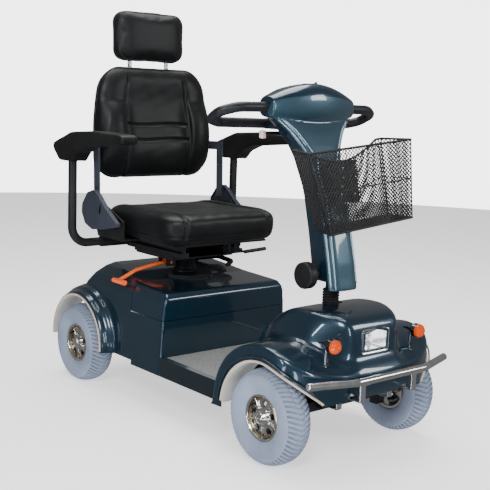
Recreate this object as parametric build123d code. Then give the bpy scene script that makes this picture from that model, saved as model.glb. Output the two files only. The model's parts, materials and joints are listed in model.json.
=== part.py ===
"""Four-wheel mobility scooter with a swivelling captain seat, a tilting tiller and a mesh basket.

Units are millimetres. +Z is up, the front of the scooter faces -Y and the rider's right is -X.
The origin is on the ground, at the middle of the whole object's box.
"""

from build123d import *
import math
import os

# wheels and steering
TYRE_RADIUS = 130.0
TYRE_HALF_WIDTH = 42.0
RIM_RADIUS = 62.0
AXLE_RADIUS = 8.0
FRONT_AXLE_Y = -432.0
REAR_AXLE_Y = 500.0
FRONT_WHEEL_X = 246.0
REAR_WHEEL_X = 260.0
KINGPIN_X = 186.0
STEERING_ARM = 60.0
COLUMN_Y = -394.0
TILT_PIVOT_Z = 490.0
RUNNING_CLEARANCE = 0.05

# body
BODY_HALF_WIDTH = 250.0
BODY_FRONT_Y = 66.0
WALL = 4.0
SKIRT_Z = 115.0
FLOOR_Z = 166.0
MAT_THICKNESS = 4.0
COVER_SEAM_Z = 285.0
COVER_BACK_Y = 240.0
COVER_GAP = 1.0
REAR_ARCH_RADIUS = 151.0
FRONT_ARCH_RADIUS = 157.0
SHROUD_HALF_WIDTH = 286.0
LINER_THICKNESS = 3.0

# seat
POST_Y = 298.0
POST_RADIUS = 21.0
DECK_TOP_Z = 368.0
SEAT_BOTTOM_Z = 504.0
SEAT_TOP_Z = 612.0
SEAT_HALF_WIDTH = 230.0
SEAT_FRONT_Y = 50.0
SEAT_BACK_Y = 480.0
RECLINE_Y = 440.0
RECLINE_Z = 590.0
BACK_TILT = 2.0
ARM_X = 333.0
ARM_TUBE_RADIUS = 14.0
ARM_TUBE_Y = 462.0
ARM_SLEEVE_Z = 475.0
ARM_PIVOT_Z = 765.0

BUMPER_RADIUS = 10.5


def box(low, high):
    """A box between two opposite corners."""
    size = [b - a for a, b in zip(low, high)]
    middle = [(a + b) / 2 for a, b in zip(low, high)]
    return Pos(*middle) * Box(*size)


def rounded_box(low, high, radius, axis=Axis.Z):
    """A box whose edges along one axis are rounded."""
    solid = box(low, high)
    return fillet(solid.edges().filter_by(axis), radius)


def rod(start, end, radius):
    """A round bar from one point to another."""
    start, end = Vector(*start), Vector(*end)
    along = end - start
    plane = Plane(origin=start, z_dir=along)
    return extrude(plane * Circle(radius), along.length)


def bent_rod(points, radius, bend):
    """A round bar along straight runs joined by arcs; bend is one radius or one for each corner."""
    path = FilletPolyline(*points, radius=bend)
    section = Plane(origin=path @ 0, z_dir=path % 0) * Circle(radius)
    return sweep(section, path=path)


def side_plate(outline, x_low, x_high):
    """A closed outline of (y, z) points, extruded from one x to another."""
    points = [(x_low, y, z) for y, z in outline]
    face = make_face(Polyline(*points, close=True))
    return extrude(face, amount=x_high - x_low, dir=(1, 0, 0))


def across_plate(outline, y_low, y_high):
    """A closed outline of (x, z) points, extruded from one y to another."""
    points = [(x, y_low, z) for x, z in outline]
    face = make_face(Polyline(*points, close=True))
    return extrude(face, amount=y_high - y_low, dir=(0, 1, 0))


def inset_outline(outline, inset):
    """Moves every side of a closed outline inwards by the same distance."""
    if not inset:
        return outline
    count = len(outline)
    area = sum(outline[k - 1][0] * outline[k][1] - outline[k][0] * outline[k - 1][1] for k in range(count))
    turn = math.copysign(1.0, area)
    sides = []
    for k in range(count):
        (ax, ay), (bx, by) = outline[k], outline[(k + 1) % count]
        length = math.hypot(bx - ax, by - ay)
        nx, ny = -turn * (by - ay) / length, turn * (bx - ax) / length
        sides.append((nx, ny, nx * ax + ny * ay + inset))
    moved = []
    for k in range(count):
        (ax, ay, a), (bx, by, b) = sides[k - 1], sides[k]
        det = ax * by - ay * bx
        moved.append(((a * by - b * ay) / det, (ax * b - bx * a) / det))
    return moved


def plan_plate(outline, z_low, z_high):
    """A closed outline of (x, y) points, extruded from one height to another."""
    points = [(x, y, z_low) for x, y in outline]
    face = make_face(Polyline(*points, close=True))
    return extrude(face, amount=z_high - z_low, dir=(0, 0, 1))


def turned(profile, centre, axis_dir):
    """A closed outline of (distance along the axis, radius) points, turned about an axis."""
    plane = Plane(origin=centre, x_dir=axis_dir, z_dir=(0, 0, 1) if axis_dir[2] == 0 else (1, 0, 0))
    face = plane * make_face(Polyline(*[(a, r) for a, r in profile], close=True))
    return revolve(face, axis=Axis(centre, axis_dir))


def both_sides(solid):
    """A solid and its mirror image across the middle of the scooter."""
    return [solid, mirror(solid, about=Plane.YZ)]


def tilted_back(solid):
    """Leans a piece of the backrest back about the recliner's axis."""
    axis = Axis((0, RECLINE_Y, RECLINE_Z), (-1, 0, 0))
    return solid.rotate(axis, BACK_TILT)


def one(shape):
    """The single largest solid of a boolean's result."""
    return max(shape.solids(), key=lambda s: s.volume)


NODES = {}


def node(name, *solids):
    """Files the solids of one named piece, ready to be written."""
    found = []
    for solid in solids:
        found.extend(solid.solids())
    NODES[name] = found


# ---------------------------------------------------------------- wheels


def tyre(centre):
    w, r = TYRE_HALF_WIDTH, TYRE_RADIUS
    profile = [(-w * 0.62, RIM_RADIUS), (w * 0.62, RIM_RADIUS), (w * 0.9, RIM_RADIUS + 12)]
    profile += [(w, RIM_RADIUS + 30), (w * 0.95, r - 20), (w * 0.72, r - 6), (w * 0.4, r)]
    profile += [(-w * 0.4, r), (-w * 0.72, r - 6)]
    profile += [(-w * 0.95, r - 20), (-w, RIM_RADIUS + 30), (-w * 0.9, RIM_RADIUS + 12)]
    return turned(profile, centre, (1, 0, 0))


def hub(centre, side, shaft_length):
    """A five-window rim with its nave; side is +1 or -1, the way the wheel faces."""
    rim_out = RIM_RADIUS - 0.2
    rim_in = rim_out - 6
    barrel = turned([(-28, rim_out), (28, rim_out), (28, rim_in), (-28, rim_in)], centre, (side, 0, 0))
    web = turned([(14, 20), (24, 20), (20, rim_out - 3), (14, rim_out - 3)], centre, (side, 0, 0))
    nave = turned([(-24, AXLE_RADIUS), (30, AXLE_RADIUS), (30, 22), (-24, 22)], centre, (side, 0, 0))
    disc = barrel + web + nave
    x, y, z = centre
    for k in range(5):
        angle = math.radians(90 + 72 * k)
        at = (x + side * 18, y + 40 * math.cos(angle), z + 40 * math.sin(angle))
        window = Plane(origin=at, z_dir=(1, 0, 0)) * RegularPolygon(11, 5)
        disc -= extrude(window, amount=20, both=True)
    cap = turned([(30, 0), (36, 0), (35, 14), (30, 18)], centre, (side, 0, 0))
    pieces = [one(disc), cap]
    if shaft_length:
        pieces.append(rod((x + side * 30, y, z), (x + side * (30 - shaft_length), y, z), AXLE_RADIUS))
    return pieces


REAR_SHAFT = 120.0
for side, hand in ((-1, "right"), (1, "left")):
    front = (side * FRONT_WHEEL_X, FRONT_AXLE_Y, TYRE_RADIUS)
    rear = (side * REAR_WHEEL_X, REAR_AXLE_Y, TYRE_RADIUS)
    node("tyre_front_" + hand, tyre(front))
    node("tyre_rear_" + hand, tyre(rear))
    node("hub_front_" + hand, *hub(front, side, 0))
    node("hub_rear_" + hand, *hub(rear, side, REAR_SHAFT))

# ---------------------------------------------------------------- steering gear

PIN_RADIUS = 5.0
ARM_TOP_Z = 112.0
LINK_LOW_Z, LINK_HIGH_Z = 113.0, 125.0
LINK_Y = FRONT_AXLE_Y + STEERING_ARM
PITMAN_Y = COLUMN_Y + STEERING_ARM


def knuckle(side):
    x = side * KINGPIN_X
    kingpin = rod((x, FRONT_AXLE_Y, 92), (x, FRONT_AXLE_Y, 168), 7)
    block = rod((x, FRONT_AXLE_Y, 103), (x, FRONT_AXLE_Y, 157), 15)
    stub = rod((x, FRONT_AXLE_Y, TYRE_RADIUS), (side * (FRONT_WHEEL_X + 29), FRONT_AXLE_Y, TYRE_RADIUS),
               AXLE_RADIUS - RUNNING_CLEARANCE)
    arm = box((x - 9, FRONT_AXLE_Y, 103), (x + 9, LINK_Y + 9, ARM_TOP_Z))
    pin = rod((x, LINK_Y, 103), (x, LINK_Y, LINK_HIGH_Z + 3), PIN_RADIUS)
    return one(kingpin + block + stub + arm + pin)


node("knuckle_right", knuckle(-1))
node("knuckle_left", knuckle(1))

eye_bore = PIN_RADIUS + RUNNING_CLEARANCE
link = box((-KINGPIN_X, LINK_Y - 6, LINK_LOW_Z), (KINGPIN_X, LINK_Y + 6, LINK_HIGH_Z))
link += box((-12, LINK_Y, LINK_LOW_Z), (12, PITMAN_Y, LINK_HIGH_Z))
for x, y in ((-KINGPIN_X, LINK_Y), (KINGPIN_X, LINK_Y), (0, PITMAN_Y)):
    link += rod((x, y, LINK_LOW_Z), (x, y, LINK_HIGH_Z), 12)
for x, y in ((-KINGPIN_X, LINK_Y), (KINGPIN_X, LINK_Y), (0, PITMAN_Y)):
    link -= rod((x, y, LINK_LOW_Z - 1), (x, y, LINK_HIGH_Z + 1), eye_bore)
node("tie_rod", one(link))

COLUMN_RADIUS = 16.0
column = rod((0, COLUMN_Y, 128), (0, COLUMN_Y, TILT_PIVOT_Z - 10), COLUMN_RADIUS - RUNNING_CLEARANCE)
column += box((-11, COLUMN_Y, 128), (11, PITMAN_Y, 138)) + rod((0, PITMAN_Y, 128), (0, PITMAN_Y, 138), 11)
column += rod((0, PITMAN_Y, LINK_LOW_Z - 2), (0, PITMAN_Y, 130), PIN_RADIUS)
column += rod((-26, COLUMN_Y, TILT_PIVOT_Z), (26, COLUMN_Y, TILT_PIVOT_Z), 15)
column -= rod((-30, COLUMN_Y, TILT_PIVOT_Z), (30, COLUMN_Y, TILT_PIVOT_Z), 6 + RUNNING_CLEARANCE)
node("steering_column", one(column))

BOOT_LOW_Z, BOOT_HIGH_Z, BOOT_FOLDS = 398.0, 444.0, 6
fold = (BOOT_HIGH_Z - BOOT_LOW_Z) / BOOT_FOLDS
boot_profile = [(0, COLUMN_RADIUS)]
for k in range(BOOT_FOLDS):
    boot_profile += [(k * fold, 21), ((k + 0.5) * fold, 25)]
boot_profile += [(BOOT_FOLDS * fold, 21), (BOOT_FOLDS * fold, COLUMN_RADIUS)]
boot = turned(boot_profile, (0, COLUMN_Y, BOOT_LOW_Z), (0, 0, 1))
node("steering_boot", boot)

# ---------------------------------------------------------------- frame and drive

RAIL_X = 75.0
RAIL_LOW_Z, RAIL_HIGH_Z = 130.0, 158.0
HEAD_TUBE_TOP_Z = 345.0
frame = box((-RAIL_X - 14, -470, RAIL_LOW_Z), (-RAIL_X + 14, 577, RAIL_HIGH_Z))
frame += box((RAIL_X - 14, -470, RAIL_LOW_Z), (RAIL_X + 14, 577, RAIL_HIGH_Z))
for y in (-430, -250, 40, 270, 430, 562):
    frame += box((-RAIL_X, y - 14, RAIL_LOW_Z + 0.5), (RAIL_X, y + 14, RAIL_HIGH_Z))
frame += box((-210, 20, RAIL_LOW_Z), (210, 48, RAIL_HIGH_Z))
frame += box((-RAIL_X, COLUMN_Y - 30, 146), (RAIL_X, COLUMN_Y + 30, RAIL_HIGH_Z))
frame += rod((0, COLUMN_Y, 146), (0, COLUMN_Y, HEAD_TUBE_TOP_Z), 23)
frame += rod((0, POST_Y, RAIL_LOW_Z), (0, POST_Y, DECK_TOP_Z - 2), 27)
frame += box((-RAIL_X, POST_Y - 14, RAIL_LOW_Z + 0.5), (RAIL_X, POST_Y + 14, RAIL_HIGH_Z))
beam = box((-KINGPIN_X + 22, FRONT_AXLE_Y - 14, 118), (KINGPIN_X - 22, FRONT_AXLE_Y + 14, 146))
for side in (-1, 1):
    x = side * KINGPIN_X
    inner_low, inner_high = sorted((x - side * 18, x - side * 28))
    beam += box((inner_low, FRONT_AXLE_Y - 13, 92), (inner_high, FRONT_AXLE_Y + 13, 168))
    low, high = sorted((x, x - side * 26))
    for z in (92, 158):
        beam += box((low, FRONT_AXLE_Y - 13, z), (high, FRONT_AXLE_Y + 13, z + 10))
        beam += rod((x, FRONT_AXLE_Y, z), (x, FRONT_AXLE_Y, z + 10), 13)
frame += beam
frame += rod((-150, 598, 262), (150, 598, 262), 8)
for x in (-RAIL_X, RAIL_X):
    frame += box((x - 4, 540, 140), (x + 4, 606, 156)) + box((x - 4, 590, 140), (x + 4, 606, 270))
for side in (-1, 1):
    x = side * KINGPIN_X
    frame -= rod((x, FRONT_AXLE_Y, 80), (x, FRONT_AXLE_Y, 180), 7 + RUNNING_CLEARANCE)
    frame -= rod((x, FRONT_AXLE_Y, 102), (x, FRONT_AXLE_Y, 158), 17)
frame -= rod((0, COLUMN_Y, 100), (0, COLUMN_Y, 400), COLUMN_RADIUS)
frame -= rod((0, POST_Y, 120), (0, POST_Y, 400), POST_RADIUS)
node("main_frame", one(frame))

gearcase = rounded_box((-130, 455, 86), (70, 545, 174), 30, Axis.X)
gearcase += rod((-150, REAR_AXLE_Y, TYRE_RADIUS), (185, REAR_AXLE_Y, TYRE_RADIUS), 24)
gearcase += rod((-185, REAR_AXLE_Y, TYRE_RADIUS), (-150, REAR_AXLE_Y, TYRE_RADIUS), 24)
for x in (-200, 120):
    gearcase -= rod((x, REAR_AXLE_Y, TYRE_RADIUS), (x + 80, REAR_AXLE_Y, TYRE_RADIUS),
                    AXLE_RADIUS + RUNNING_CLEARANCE)
for x in (-RAIL_X, RAIL_X):
    gearcase -= box((x - 14.2, 300, RAIL_LOW_Z - 0.2), (x + 14.2, 600, 190))
gearcase -= box((-60.8, 300, RAIL_LOW_Z), (60.8, 444.2, RAIL_HIGH_Z))
motor = rod((-30, 500, 174.2), (-30, 500, 262), 45)
brake = rod((-30, 500, 262.2), (-30, 500, 288), 32)
node("drive_unit", one(gearcase), motor, brake)

battery = rounded_box((12, 92, 172), (205, 228, 338), 6)
strap = box((-206, 150, 338.2), (206, 176, 340.2))
node("batteries", *both_sides(battery), strap)
node("controller", rounded_box((-90, 350, 172), (90, 440, 214), 6))

# ---------------------------------------------------------------- body panels

REAR_OUTLINE = [(66, 115), (66, 350), (80, 364), (240, 372), (420, 398), (462, 402), (486, 372), (540, 300),
                (592, 246), (612, 205), (612, 180), (240, 115)]
REAR_ACROSS = [(-254, 110), (-245, 285), (-240, 338), (-226, 366), (-196, 392), (-160, 404),
               (160, 404), (196, 392), (226, 366), (240, 338), (245, 285), (254, 110)]


def rear_body(inset):
    """The rear body's outer form, or with an inset its inner one: a side outline cut to a cross outline."""
    solid = side_plate(inset_outline(REAR_OUTLINE, inset), -300, 300)
    return solid & across_plate(inset_outline(REAR_ACROSS, inset), 0, 700)


outer = rear_body(0)
for side in (-1, 1):
    outer += turned([(228, REAR_ARCH_RADIUS - 4), (292, REAR_ARCH_RADIUS - 4), (292, REAR_ARCH_RADIUS + 6),
                     (284, REAR_ARCH_RADIUS + 16), (228, REAR_ARCH_RADIUS + 16)],
                    (0, REAR_AXLE_Y, TYRE_RADIUS + 12), (side, 0, 0))
inner = rear_body(WALL) + box((-BODY_HALF_WIDTH + WALL, BODY_FRONT_Y + WALL, 60),
                              (BODY_HALF_WIDTH - WALL, 600, 200))
shell = outer - inner
for side in (-1, 1):
    shell -= rod((side * 200, REAR_AXLE_Y, TYRE_RADIUS + 12), (side * 400, REAR_AXLE_Y, TYRE_RADIUS + 12),
                 REAR_ARCH_RADIUS)
shell -= box((-400, 225, 0), (400, 700, SKIRT_Z + 14))
shell -= box((-400, 560, 0), (400, 700, 205))
shell -= box((-RAIL_X - 16, 0, 100), (RAIL_X + 16, 80, 162))
for x in (-RAIL_X, RAIL_X):
    shell -= box((x - 6, 560, 150), (x + 6, 640, 275))
arch_z = TYRE_RADIUS + 12
arch_keep = rod((-400, REAR_AXLE_Y, arch_z), (400, REAR_AXLE_Y, arch_z), REAR_ARCH_RADIUS + 6)
shell -= box((-400, 585, 0), (400, 700, 300)) - arch_keep
cover_zone = box((-300, 0, COVER_SEAM_Z), (300, COVER_BACK_Y, 500))
cover_cut = box((-300, 0, COVER_SEAM_Z - COVER_GAP), (300, COVER_BACK_Y + COVER_GAP, 500))
cover = one(shell & cover_zone)
shell = shell - cover_cut - rod((0, POST_Y, 300), (0, POST_Y, 500), 46)
node("rear_body_shell", one(shell))
node("battery_cover", cover)

FLANGE_LOW_Z = 374.0
FLANGE_HIGH_Z = 382.0
octagon = Plane(origin=(0, POST_Y, FLANGE_LOW_Z)) * RegularPolygon(96, 8, rotation=22.5)
flange = extrude(octagon, FLANGE_HIGH_Z - FLANGE_LOW_Z)
flange += rod((0, POST_Y, 352), (0, POST_Y, FLANGE_HIGH_Z), 44)
flange -= rod((0, POST_Y, 340), (0, POST_Y, 400), 27.2)
flange -= rear_body(0)
node("post_flange", one(flange))

handle_points = [(112, 384, 380), (112, 384, 404), (176, 340, 412), (176, 262, 406), (122, 226, 398),
                 (122, 226, 362)]
node("cover_handle", bent_rod(handle_points, 8, [14, 24, 24, 14]) - rear_body(0) - cover_zone)

SHROUD_OUTLINE = [(-226, 118), (-240, 190), (-268, 252), (-310, 298), (-356, 321), (-470, 330), (-540, 282),
                  (-566, 270), (-600, 262), (-594, 190), (-560, 176), (-300, 118)]


def fenders(inset):
    """The low wide part of the front shroud, over both wheels, bowed at the front."""
    half = SHROUD_HALF_WIDTH - inset
    solid = side_plate(inset_outline(SHROUD_OUTLINE, inset), -half, half)
    bow = plan_plate([(-half, -200), (-half, -470), (-half + 24, -530 + inset), (-half + 70, -568 + inset),
                      (-150, -588 + inset), (0, -600 + inset), (150, -588 + inset), (half - 70, -568 + inset),
                      (half - 24, -530 + inset), (half, -470), (half, -200)], 60, 400)
    return solid & bow


def dome(inset):
    """The middle hump that carries the steering column and the headlight."""
    def section(y, half, top, low=200.0):
        plane = Plane(origin=(0, y, (low + top - inset) / 2), x_dir=(1, 0, 0), z_dir=(0, -1, 0))
        return plane * RectangleRounded(2 * (half - inset), top - inset - low, min(half, top - low) * 0.4)
    back = section(-262 - inset, 150, 300)
    ridge = section(-350, 168, 392)
    mid = section(-450, 150, 402)
    front = section(-562 + inset, 92, 384)
    return loft([back, ridge]) + loft([ridge, mid]) + loft([mid, front])


shroud = (fenders(0) + dome(0)) - (fenders(WALL) + dome(WALL))
shroud -= box((-400, -640, 0), (400, -200, 118))
shroud -= box((-SHROUD_HALF_WIDTH + WALL, -560, 60), (SHROUD_HALF_WIDTH - WALL, -240, 200))
shroud -= box((-SHROUD_HALF_WIDTH + 30, -590, 60), (SHROUD_HALF_WIDTH - 30, -540, 189))
for side in (-1, 1):
    shroud -= rod((side * 175, FRONT_AXLE_Y, TYRE_RADIUS - 5), (side * 400, FRONT_AXLE_Y, TYRE_RADIUS - 5),
                  FRONT_ARCH_RADIUS)
shroud -= rod((0, COLUMN_Y, 300), (0, COLUMN_Y, 450), 27)
shroud -= box((-52, -600, 300), (52, -540, 364))
for x in (-100, 100):
    shroud -= box((x - 13, -640, 100), (x + 13, -520, 200))
shroud -= box((-RAIL_X - 16, -262, 100), (RAIL_X + 16, -200, 162))
node("front_shroud", one(shroud))


def liner(side, axle_y, radius, z_centre, inner_x, outer_x, front_low_z):
    """An inner mudguard with a rolled edge at the arch's lip."""
    profile = [(inner_x, radius - LINER_THICKNESS), (outer_x, radius - LINER_THICKNESS), (outer_x, radius + 3),
               (outer_x - 4, radius + 3), (outer_x - 4, radius - 0.3), (inner_x, radius - 0.3)]
    ring = turned(profile, (0, axle_y, z_centre), (side, 0, 0))
    keep = box((-400, axle_y - 200, SKIRT_Z + 16), (400, min(axle_y + 200, 645), 400))
    keep -= box((-400, axle_y - 200, 0), (400, axle_y, front_low_z))
    return one(ring & keep)


liners = []
for side in (-1, 1):
    liners.append(liner(side, FRONT_AXLE_Y, FRONT_ARCH_RADIUS, TYRE_RADIUS - 5, 206, 292.2, 205))
    liners.append(liner(side, REAR_AXLE_Y, REAR_ARCH_RADIUS, TYRE_RADIUS + 12, 206, 296.2, SKIRT_Z))
node("wheel_arch_liners", *liners)

floor_half = 238.0
floor_front_y = -224.0
pan = box((-floor_half, floor_front_y, RAIL_HIGH_Z + 0.2), (floor_half, BODY_FRONT_Y - 0.5, FLOOR_Z))
for side in (-1, 1):
    low, high = sorted((side * (floor_half - 4), side * (floor_half + 16)))
    pan += box((low, floor_front_y, SKIRT_Z), (high, BODY_FRONT_Y - 0.5, FLOOR_Z + MAT_THICKNESS + 2))
node("floor_pan", one(pan))
mat_half = floor_half - 6
mat = box((-mat_half, floor_front_y, FLOOR_Z + 0.1), (mat_half, BODY_FRONT_Y - 1, FLOOR_Z + MAT_THICKNESS))
node("floor_mat", mat)

# ---------------------------------------------------------------- lights

reflector = rounded_box((-51, -566, 301), (51, -530, 363), 8, Axis.Y)
reflector -= rounded_box((-48, -567, 304), (48, -534, 360), 6, Axis.Y)
bulb = rod((0, -533.9, 332), (0, -552, 332), 6)
node("headlight_unit", one(reflector), bulb)
lens = rounded_box((-51, -571, 301), (51, -566.2, 363), 8, Axis.Y)
node("headlight_lens", lens)

LAMP_X, LAMP_Y, LAMP_Z = 165.0, -565.0, 340.0
bullet = [(-20, 6), (-42, 2), (-42, 0), (12, 0), (12, 19), (0, 19), (-10, 14)]
housing = turned(bullet, (LAMP_X, LAMP_Y, LAMP_Z), (0, -1, 0))
stalk = rod((LAMP_X, LAMP_Y + 15, LAMP_Z - 4), (LAMP_X, LAMP_Y + 15, 268), 6)
stalk += rod((LAMP_X, LAMP_Y + 15, 274), (LAMP_X, LAMP_Y + 15, 286), 9)
housing = one((housing + stalk) - fenders(0))
node("indicator_housings", *both_sides(housing))
amber = turned([(12.2, 0), (30, 0), (27, 12), (20, 18), (12.2, 18.5)], (LAMP_X, LAMP_Y, LAMP_Z), (0, -1, 0))
node("indicator_lenses", *both_sides(amber))

rear_lamp_body = rounded_box((118, 566, 268), (182, 580, 296), 6, Axis.Y)
rear_lamp_body += box((126, 530, 274), (174, 567, 292))
rear_lamp_body = one(rear_lamp_body - rear_body(0))
rear_lamp_lens = rounded_box((120, 580.2, 270), (180, 586, 294), 5, Axis.Y)
node("rear_lamps", *both_sides(rear_lamp_body), *both_sides(rear_lamp_lens))

# ---------------------------------------------------------------- bumpers

bumper_points = [(-268, -592, 254), (-132, -636, 254), (132, -636, 254), (268, -592, 254)]
front_bumper = bent_rod(bumper_points, BUMPER_RADIUS, 60)
brackets = []
for x in (-100, 100):
    hook = box((x - 11, -627, 196), (x + 11, -622, 246)) + box((x - 11, -627, 192), (x + 11, -540, 197))
    hook += box((x - 11, -545, 150), (x + 11, -540, 197)) + box((x - 11, -545, 150), (x + 11, -470.2, 155))
    hook += box((x - 11, -640, 242), (x + 11, -622, 247))
    brackets.append(one(hook - front_bumper))
node("front_bumper", front_bumper, *brackets)
rear_points = [(-270, 627, 252), (-200, 636, 252), (200, 636, 252), (270, 627, 252)]
rear_bumper = bent_rod(rear_points, BUMPER_RADIUS, 60)
stays = []
for x in (-RAIL_X, RAIL_X):
    stays.append(box((x - 6, 606.2, 242), (x + 6, 630, 262)) - rear_bumper)
node("rear_bumper", rear_bumper, *stays)

# ---------------------------------------------------------------- tiller

TILLER_SECTIONS = [(446, -410, 108, 96), (520, -396, 109, 94), (600, -378, 108, 90), (700, -352, 110, 86),
                   (800, -314, 118, 84), (880, -280, 158, 86), (930, -264, 200, 90)]


def tiller_form(inset):
    """The tiller's outer form: a leaning post that widens into the head."""
    planes = []
    for z, y, width, depth in TILLER_SECTIONS:
        at = Plane(origin=(0, y, z), x_dir=(1, 0, 0), z_dir=(0, 0, 1))
        planes.append(at * RectangleRounded(width - 2 * inset, depth - 2 * inset, 16 - inset))
    post = loft(planes)
    head = []
    for x, z, tall, deep in ((-156, 940, 56, 62), (-84, 944, 92, 96), (0, 950, 118, 112), (84, 944, 92, 96),
                             (156, 940, 56, 62)):
        reach = math.copysign(inset, x) if abs(x) > 150 else 0
        at = Plane(origin=(x - reach, -268, z), x_dir=(0, 1, 0), z_dir=(1, 0, 0))
        head.append(at * RectangleRounded(deep - 2 * inset, tall - 2 * inset, 24 - inset))
    return post + loft(head)


PANEL_PLANE = Plane(origin=(0, -240, 985), x_dir=(1, 0, 0), z_dir=(0, 0.5, 1))
above_panel = extrude(PANEL_PLANE * Rectangle(400, 300), amount=200)
handle_bar_points = [(0, -270, 941), (250, -262, 938), (292, -236, 924), (288, -192, 902), (252, -178, 894),
                     (70, -182, 892)]
half_bar = bent_rod(handle_bar_points, 14, [60, 24, 24, 24])
bar = half_bar + mirror(half_bar, about=Plane.YZ)
node("handlebar", one(bar))

outer_form = tiller_form(0) - above_panel
inner_form = tiller_form(3) - extrude(PANEL_PLANE.offset(-3) * Rectangle(400, 300), amount=200)
inner_form += box((-50, COLUMN_Y - 59, 400), (50, COLUMN_Y + 28, 456))
form = outer_form - inner_form
SEAM = [(446, -436), (520, -422), (600, -403), (700, -376), (800, -338), (880, -300), (930, -268), (1060, -262)]
front_side = side_plate([(y - 0.3, z) for z, y in SEAM] + [(-700, 1060), (-700, 446)], -300, 300)
back_side = side_plate([(y, z) for z, y in SEAM] + [(0, 1060), (0, 446)], -300, 300)
knob_bore = rod((-65, COLUMN_Y, TILT_PIVOT_Z), (65, COLUMN_Y, TILT_PIVOT_Z), 6 + RUNNING_CLEARANCE)
panel_window = extrude(PANEL_PLANE.offset(-20) * RectangleRounded(150, 66, 10), amount=60)
ears = box((-53.5, COLUMN_Y - 18, TILT_PIVOT_Z - 20), (-27, COLUMN_Y + 18, TILT_PIVOT_Z + 20))
ears += box((27, COLUMN_Y - 18, TILT_PIVOT_Z - 20), (53.5, COLUMN_Y + 18, TILT_PIVOT_Z + 20))
ROCKER_Y, ROCKER_Z, ROCKER_PIN = -209.0, 866.0, 4.0
holders = box((-10, -262, ROCKER_Z - 14), (10, ROCKER_Y + 9, ROCKER_Z - 7))
holders += box((-10, -262, ROCKER_Z + 7), (10, ROCKER_Y + 9, ROCKER_Z + 14))
for side in (-1, 1):
    low, high = sorted((side * 52, side * 88))
    holders += box((low, -262, 876), (high, -170, 908))
holders = holders - inner_form
pin_bore = rod((0, ROCKER_Y, ROCKER_Z - 30), (0, ROCKER_Y, ROCKER_Z + 30), ROCKER_PIN + RUNNING_CLEARANCE)
foot_relief = box((-70, COLUMN_Y, 430), (70, COLUMN_Y + 60, 472))
rear_part = (form & back_side) + (ears & back_side) + holders
rear_part = rear_part - knob_bore - bar - panel_window - pin_bore - foot_relief
front_part = (form & front_side) - bar - panel_window - holders
node("tiller_rear_shell", one(rear_part))
node("tiller_front_cover", one(front_part))

KNOB_X = -100.0
knob_profile = [(-14, 0), (14, 0), (14, 33), (10, 37), (-10, 37), (-14, 33)]
knob = turned(knob_profile, (KNOB_X, COLUMN_Y, TILT_PIVOT_Z), (1, 0, 0))
knob += rod((KNOB_X, COLUMN_Y, TILT_PIVOT_Z), (-57, COLUMN_Y, TILT_PIVOT_Z), 12)
knob += rod((KNOB_X, COLUMN_Y, TILT_PIVOT_Z), (52, COLUMN_Y, TILT_PIVOT_Z), 6)
node("tilt_knob", one(knob))

rocker = box((-126, ROCKER_Y - 5, ROCKER_Z - 6), (126, ROCKER_Y + 5, ROCKER_Z + 6))
for side in (-1, 1):
    low, high = sorted((side * 102, side * 136))
    rocker += rounded_box((low, ROCKER_Y - 3, ROCKER_Z - 24), (high, ROCKER_Y + 3, ROCKER_Z + 6), 5, Axis.Y)
rocker += rod((0, ROCKER_Y, ROCKER_Z - 16), (0, ROCKER_Y, ROCKER_Z + 16), ROCKER_PIN)
node("throttle_rocker", one(rocker))

DIAL_AT, KEY_AT = (0, -6), (52, -6)
panel = extrude(PANEL_PLANE.offset(-3) * RectangleRounded(149.4, 65.4, 9.7), amount=4)
for x, y in (DIAL_AT, KEY_AT):
    panel -= extrude(PANEL_PLANE.offset(-10) * Pos(x, y) * Circle(4.05), amount=20)
for x, y in ((-52, -14), (-52, 10), (-30, -14), (-30, 10)):
    panel += extrude(PANEL_PLANE.offset(0.5) * Pos(x, y) * RectangleRounded(16, 11, 2), amount=4)
panel += extrude(PANEL_PLANE.offset(0.5) * Pos(20, 20) * RectangleRounded(60, 12, 2), amount=2)
node("console_panel", one(panel))
dial = extrude(PANEL_PLANE.offset(1.5) * Pos(*DIAL_AT) * Circle(17), amount=13)
dial += extrude(PANEL_PLANE.offset(-8) * Pos(*DIAL_AT) * Circle(4), amount=12)
dial += extrude(PANEL_PLANE.offset(14) * Pos(DIAL_AT[0], DIAL_AT[1] + 9) * Rectangle(2.4, 12), amount=1.2)
node("speed_dial", one(dial))
key = extrude(PANEL_PLANE.offset(-8) * Pos(*KEY_AT) * Circle(4), amount=13)
key += extrude(PANEL_PLANE.offset(1.5) * Pos(*KEY_AT) * Rectangle(2.4, 20), amount=24)
node("ignition_key", one(key))

# ---------------------------------------------------------------- basket

BASKET_WALL = 3.0
RIM_Z, BASKET_FLOOR_Z = 846.0, 636.0


def basket_form(inset):
    """The basket's outer form: a shallow tapered tray that leans back with the tiller."""
    low = plan_face([(-156, -530), (156, -530), (140, -455), (-140, -455)], BASKET_FLOOR_Z, inset)
    high = plan_face([(-195, -492), (195, -492), (170, -405), (-170, -405)], RIM_Z, inset)
    form = loft([low, high], ruled=True)
    return form


def plan_face(outline, z, inset):
    """A closed outline of (x, y) points at one height."""
    points = [(x, y, z) for x, y in inset_outline(outline, inset)]
    return make_face(Polyline(*points, close=True))


basket_hollow = basket_form(BASKET_WALL) - box((-300, -600, 600), (300, -300, BASKET_FLOOR_Z + BASKET_WALL))
basket = basket_form(0) - basket_hollow
basket -= box((-115, -432, 806), (115, -380, 900))
node("basket", one(basket))

plate = side_plate([(-442, 690), (-414.5, 804), (-410.5, 804), (-438, 690)], -48, 48)
for side in (-1, 1):
    low, high = sorted((side * 22, side * 36))
    plate += box((low, -432, 716), (high, -352, 728)) + box((low, -417, 780), (high, -340, 792))
node("basket_bracket", one(plate - tiller_form(0)))

# ---------------------------------------------------------------- seat support

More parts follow.
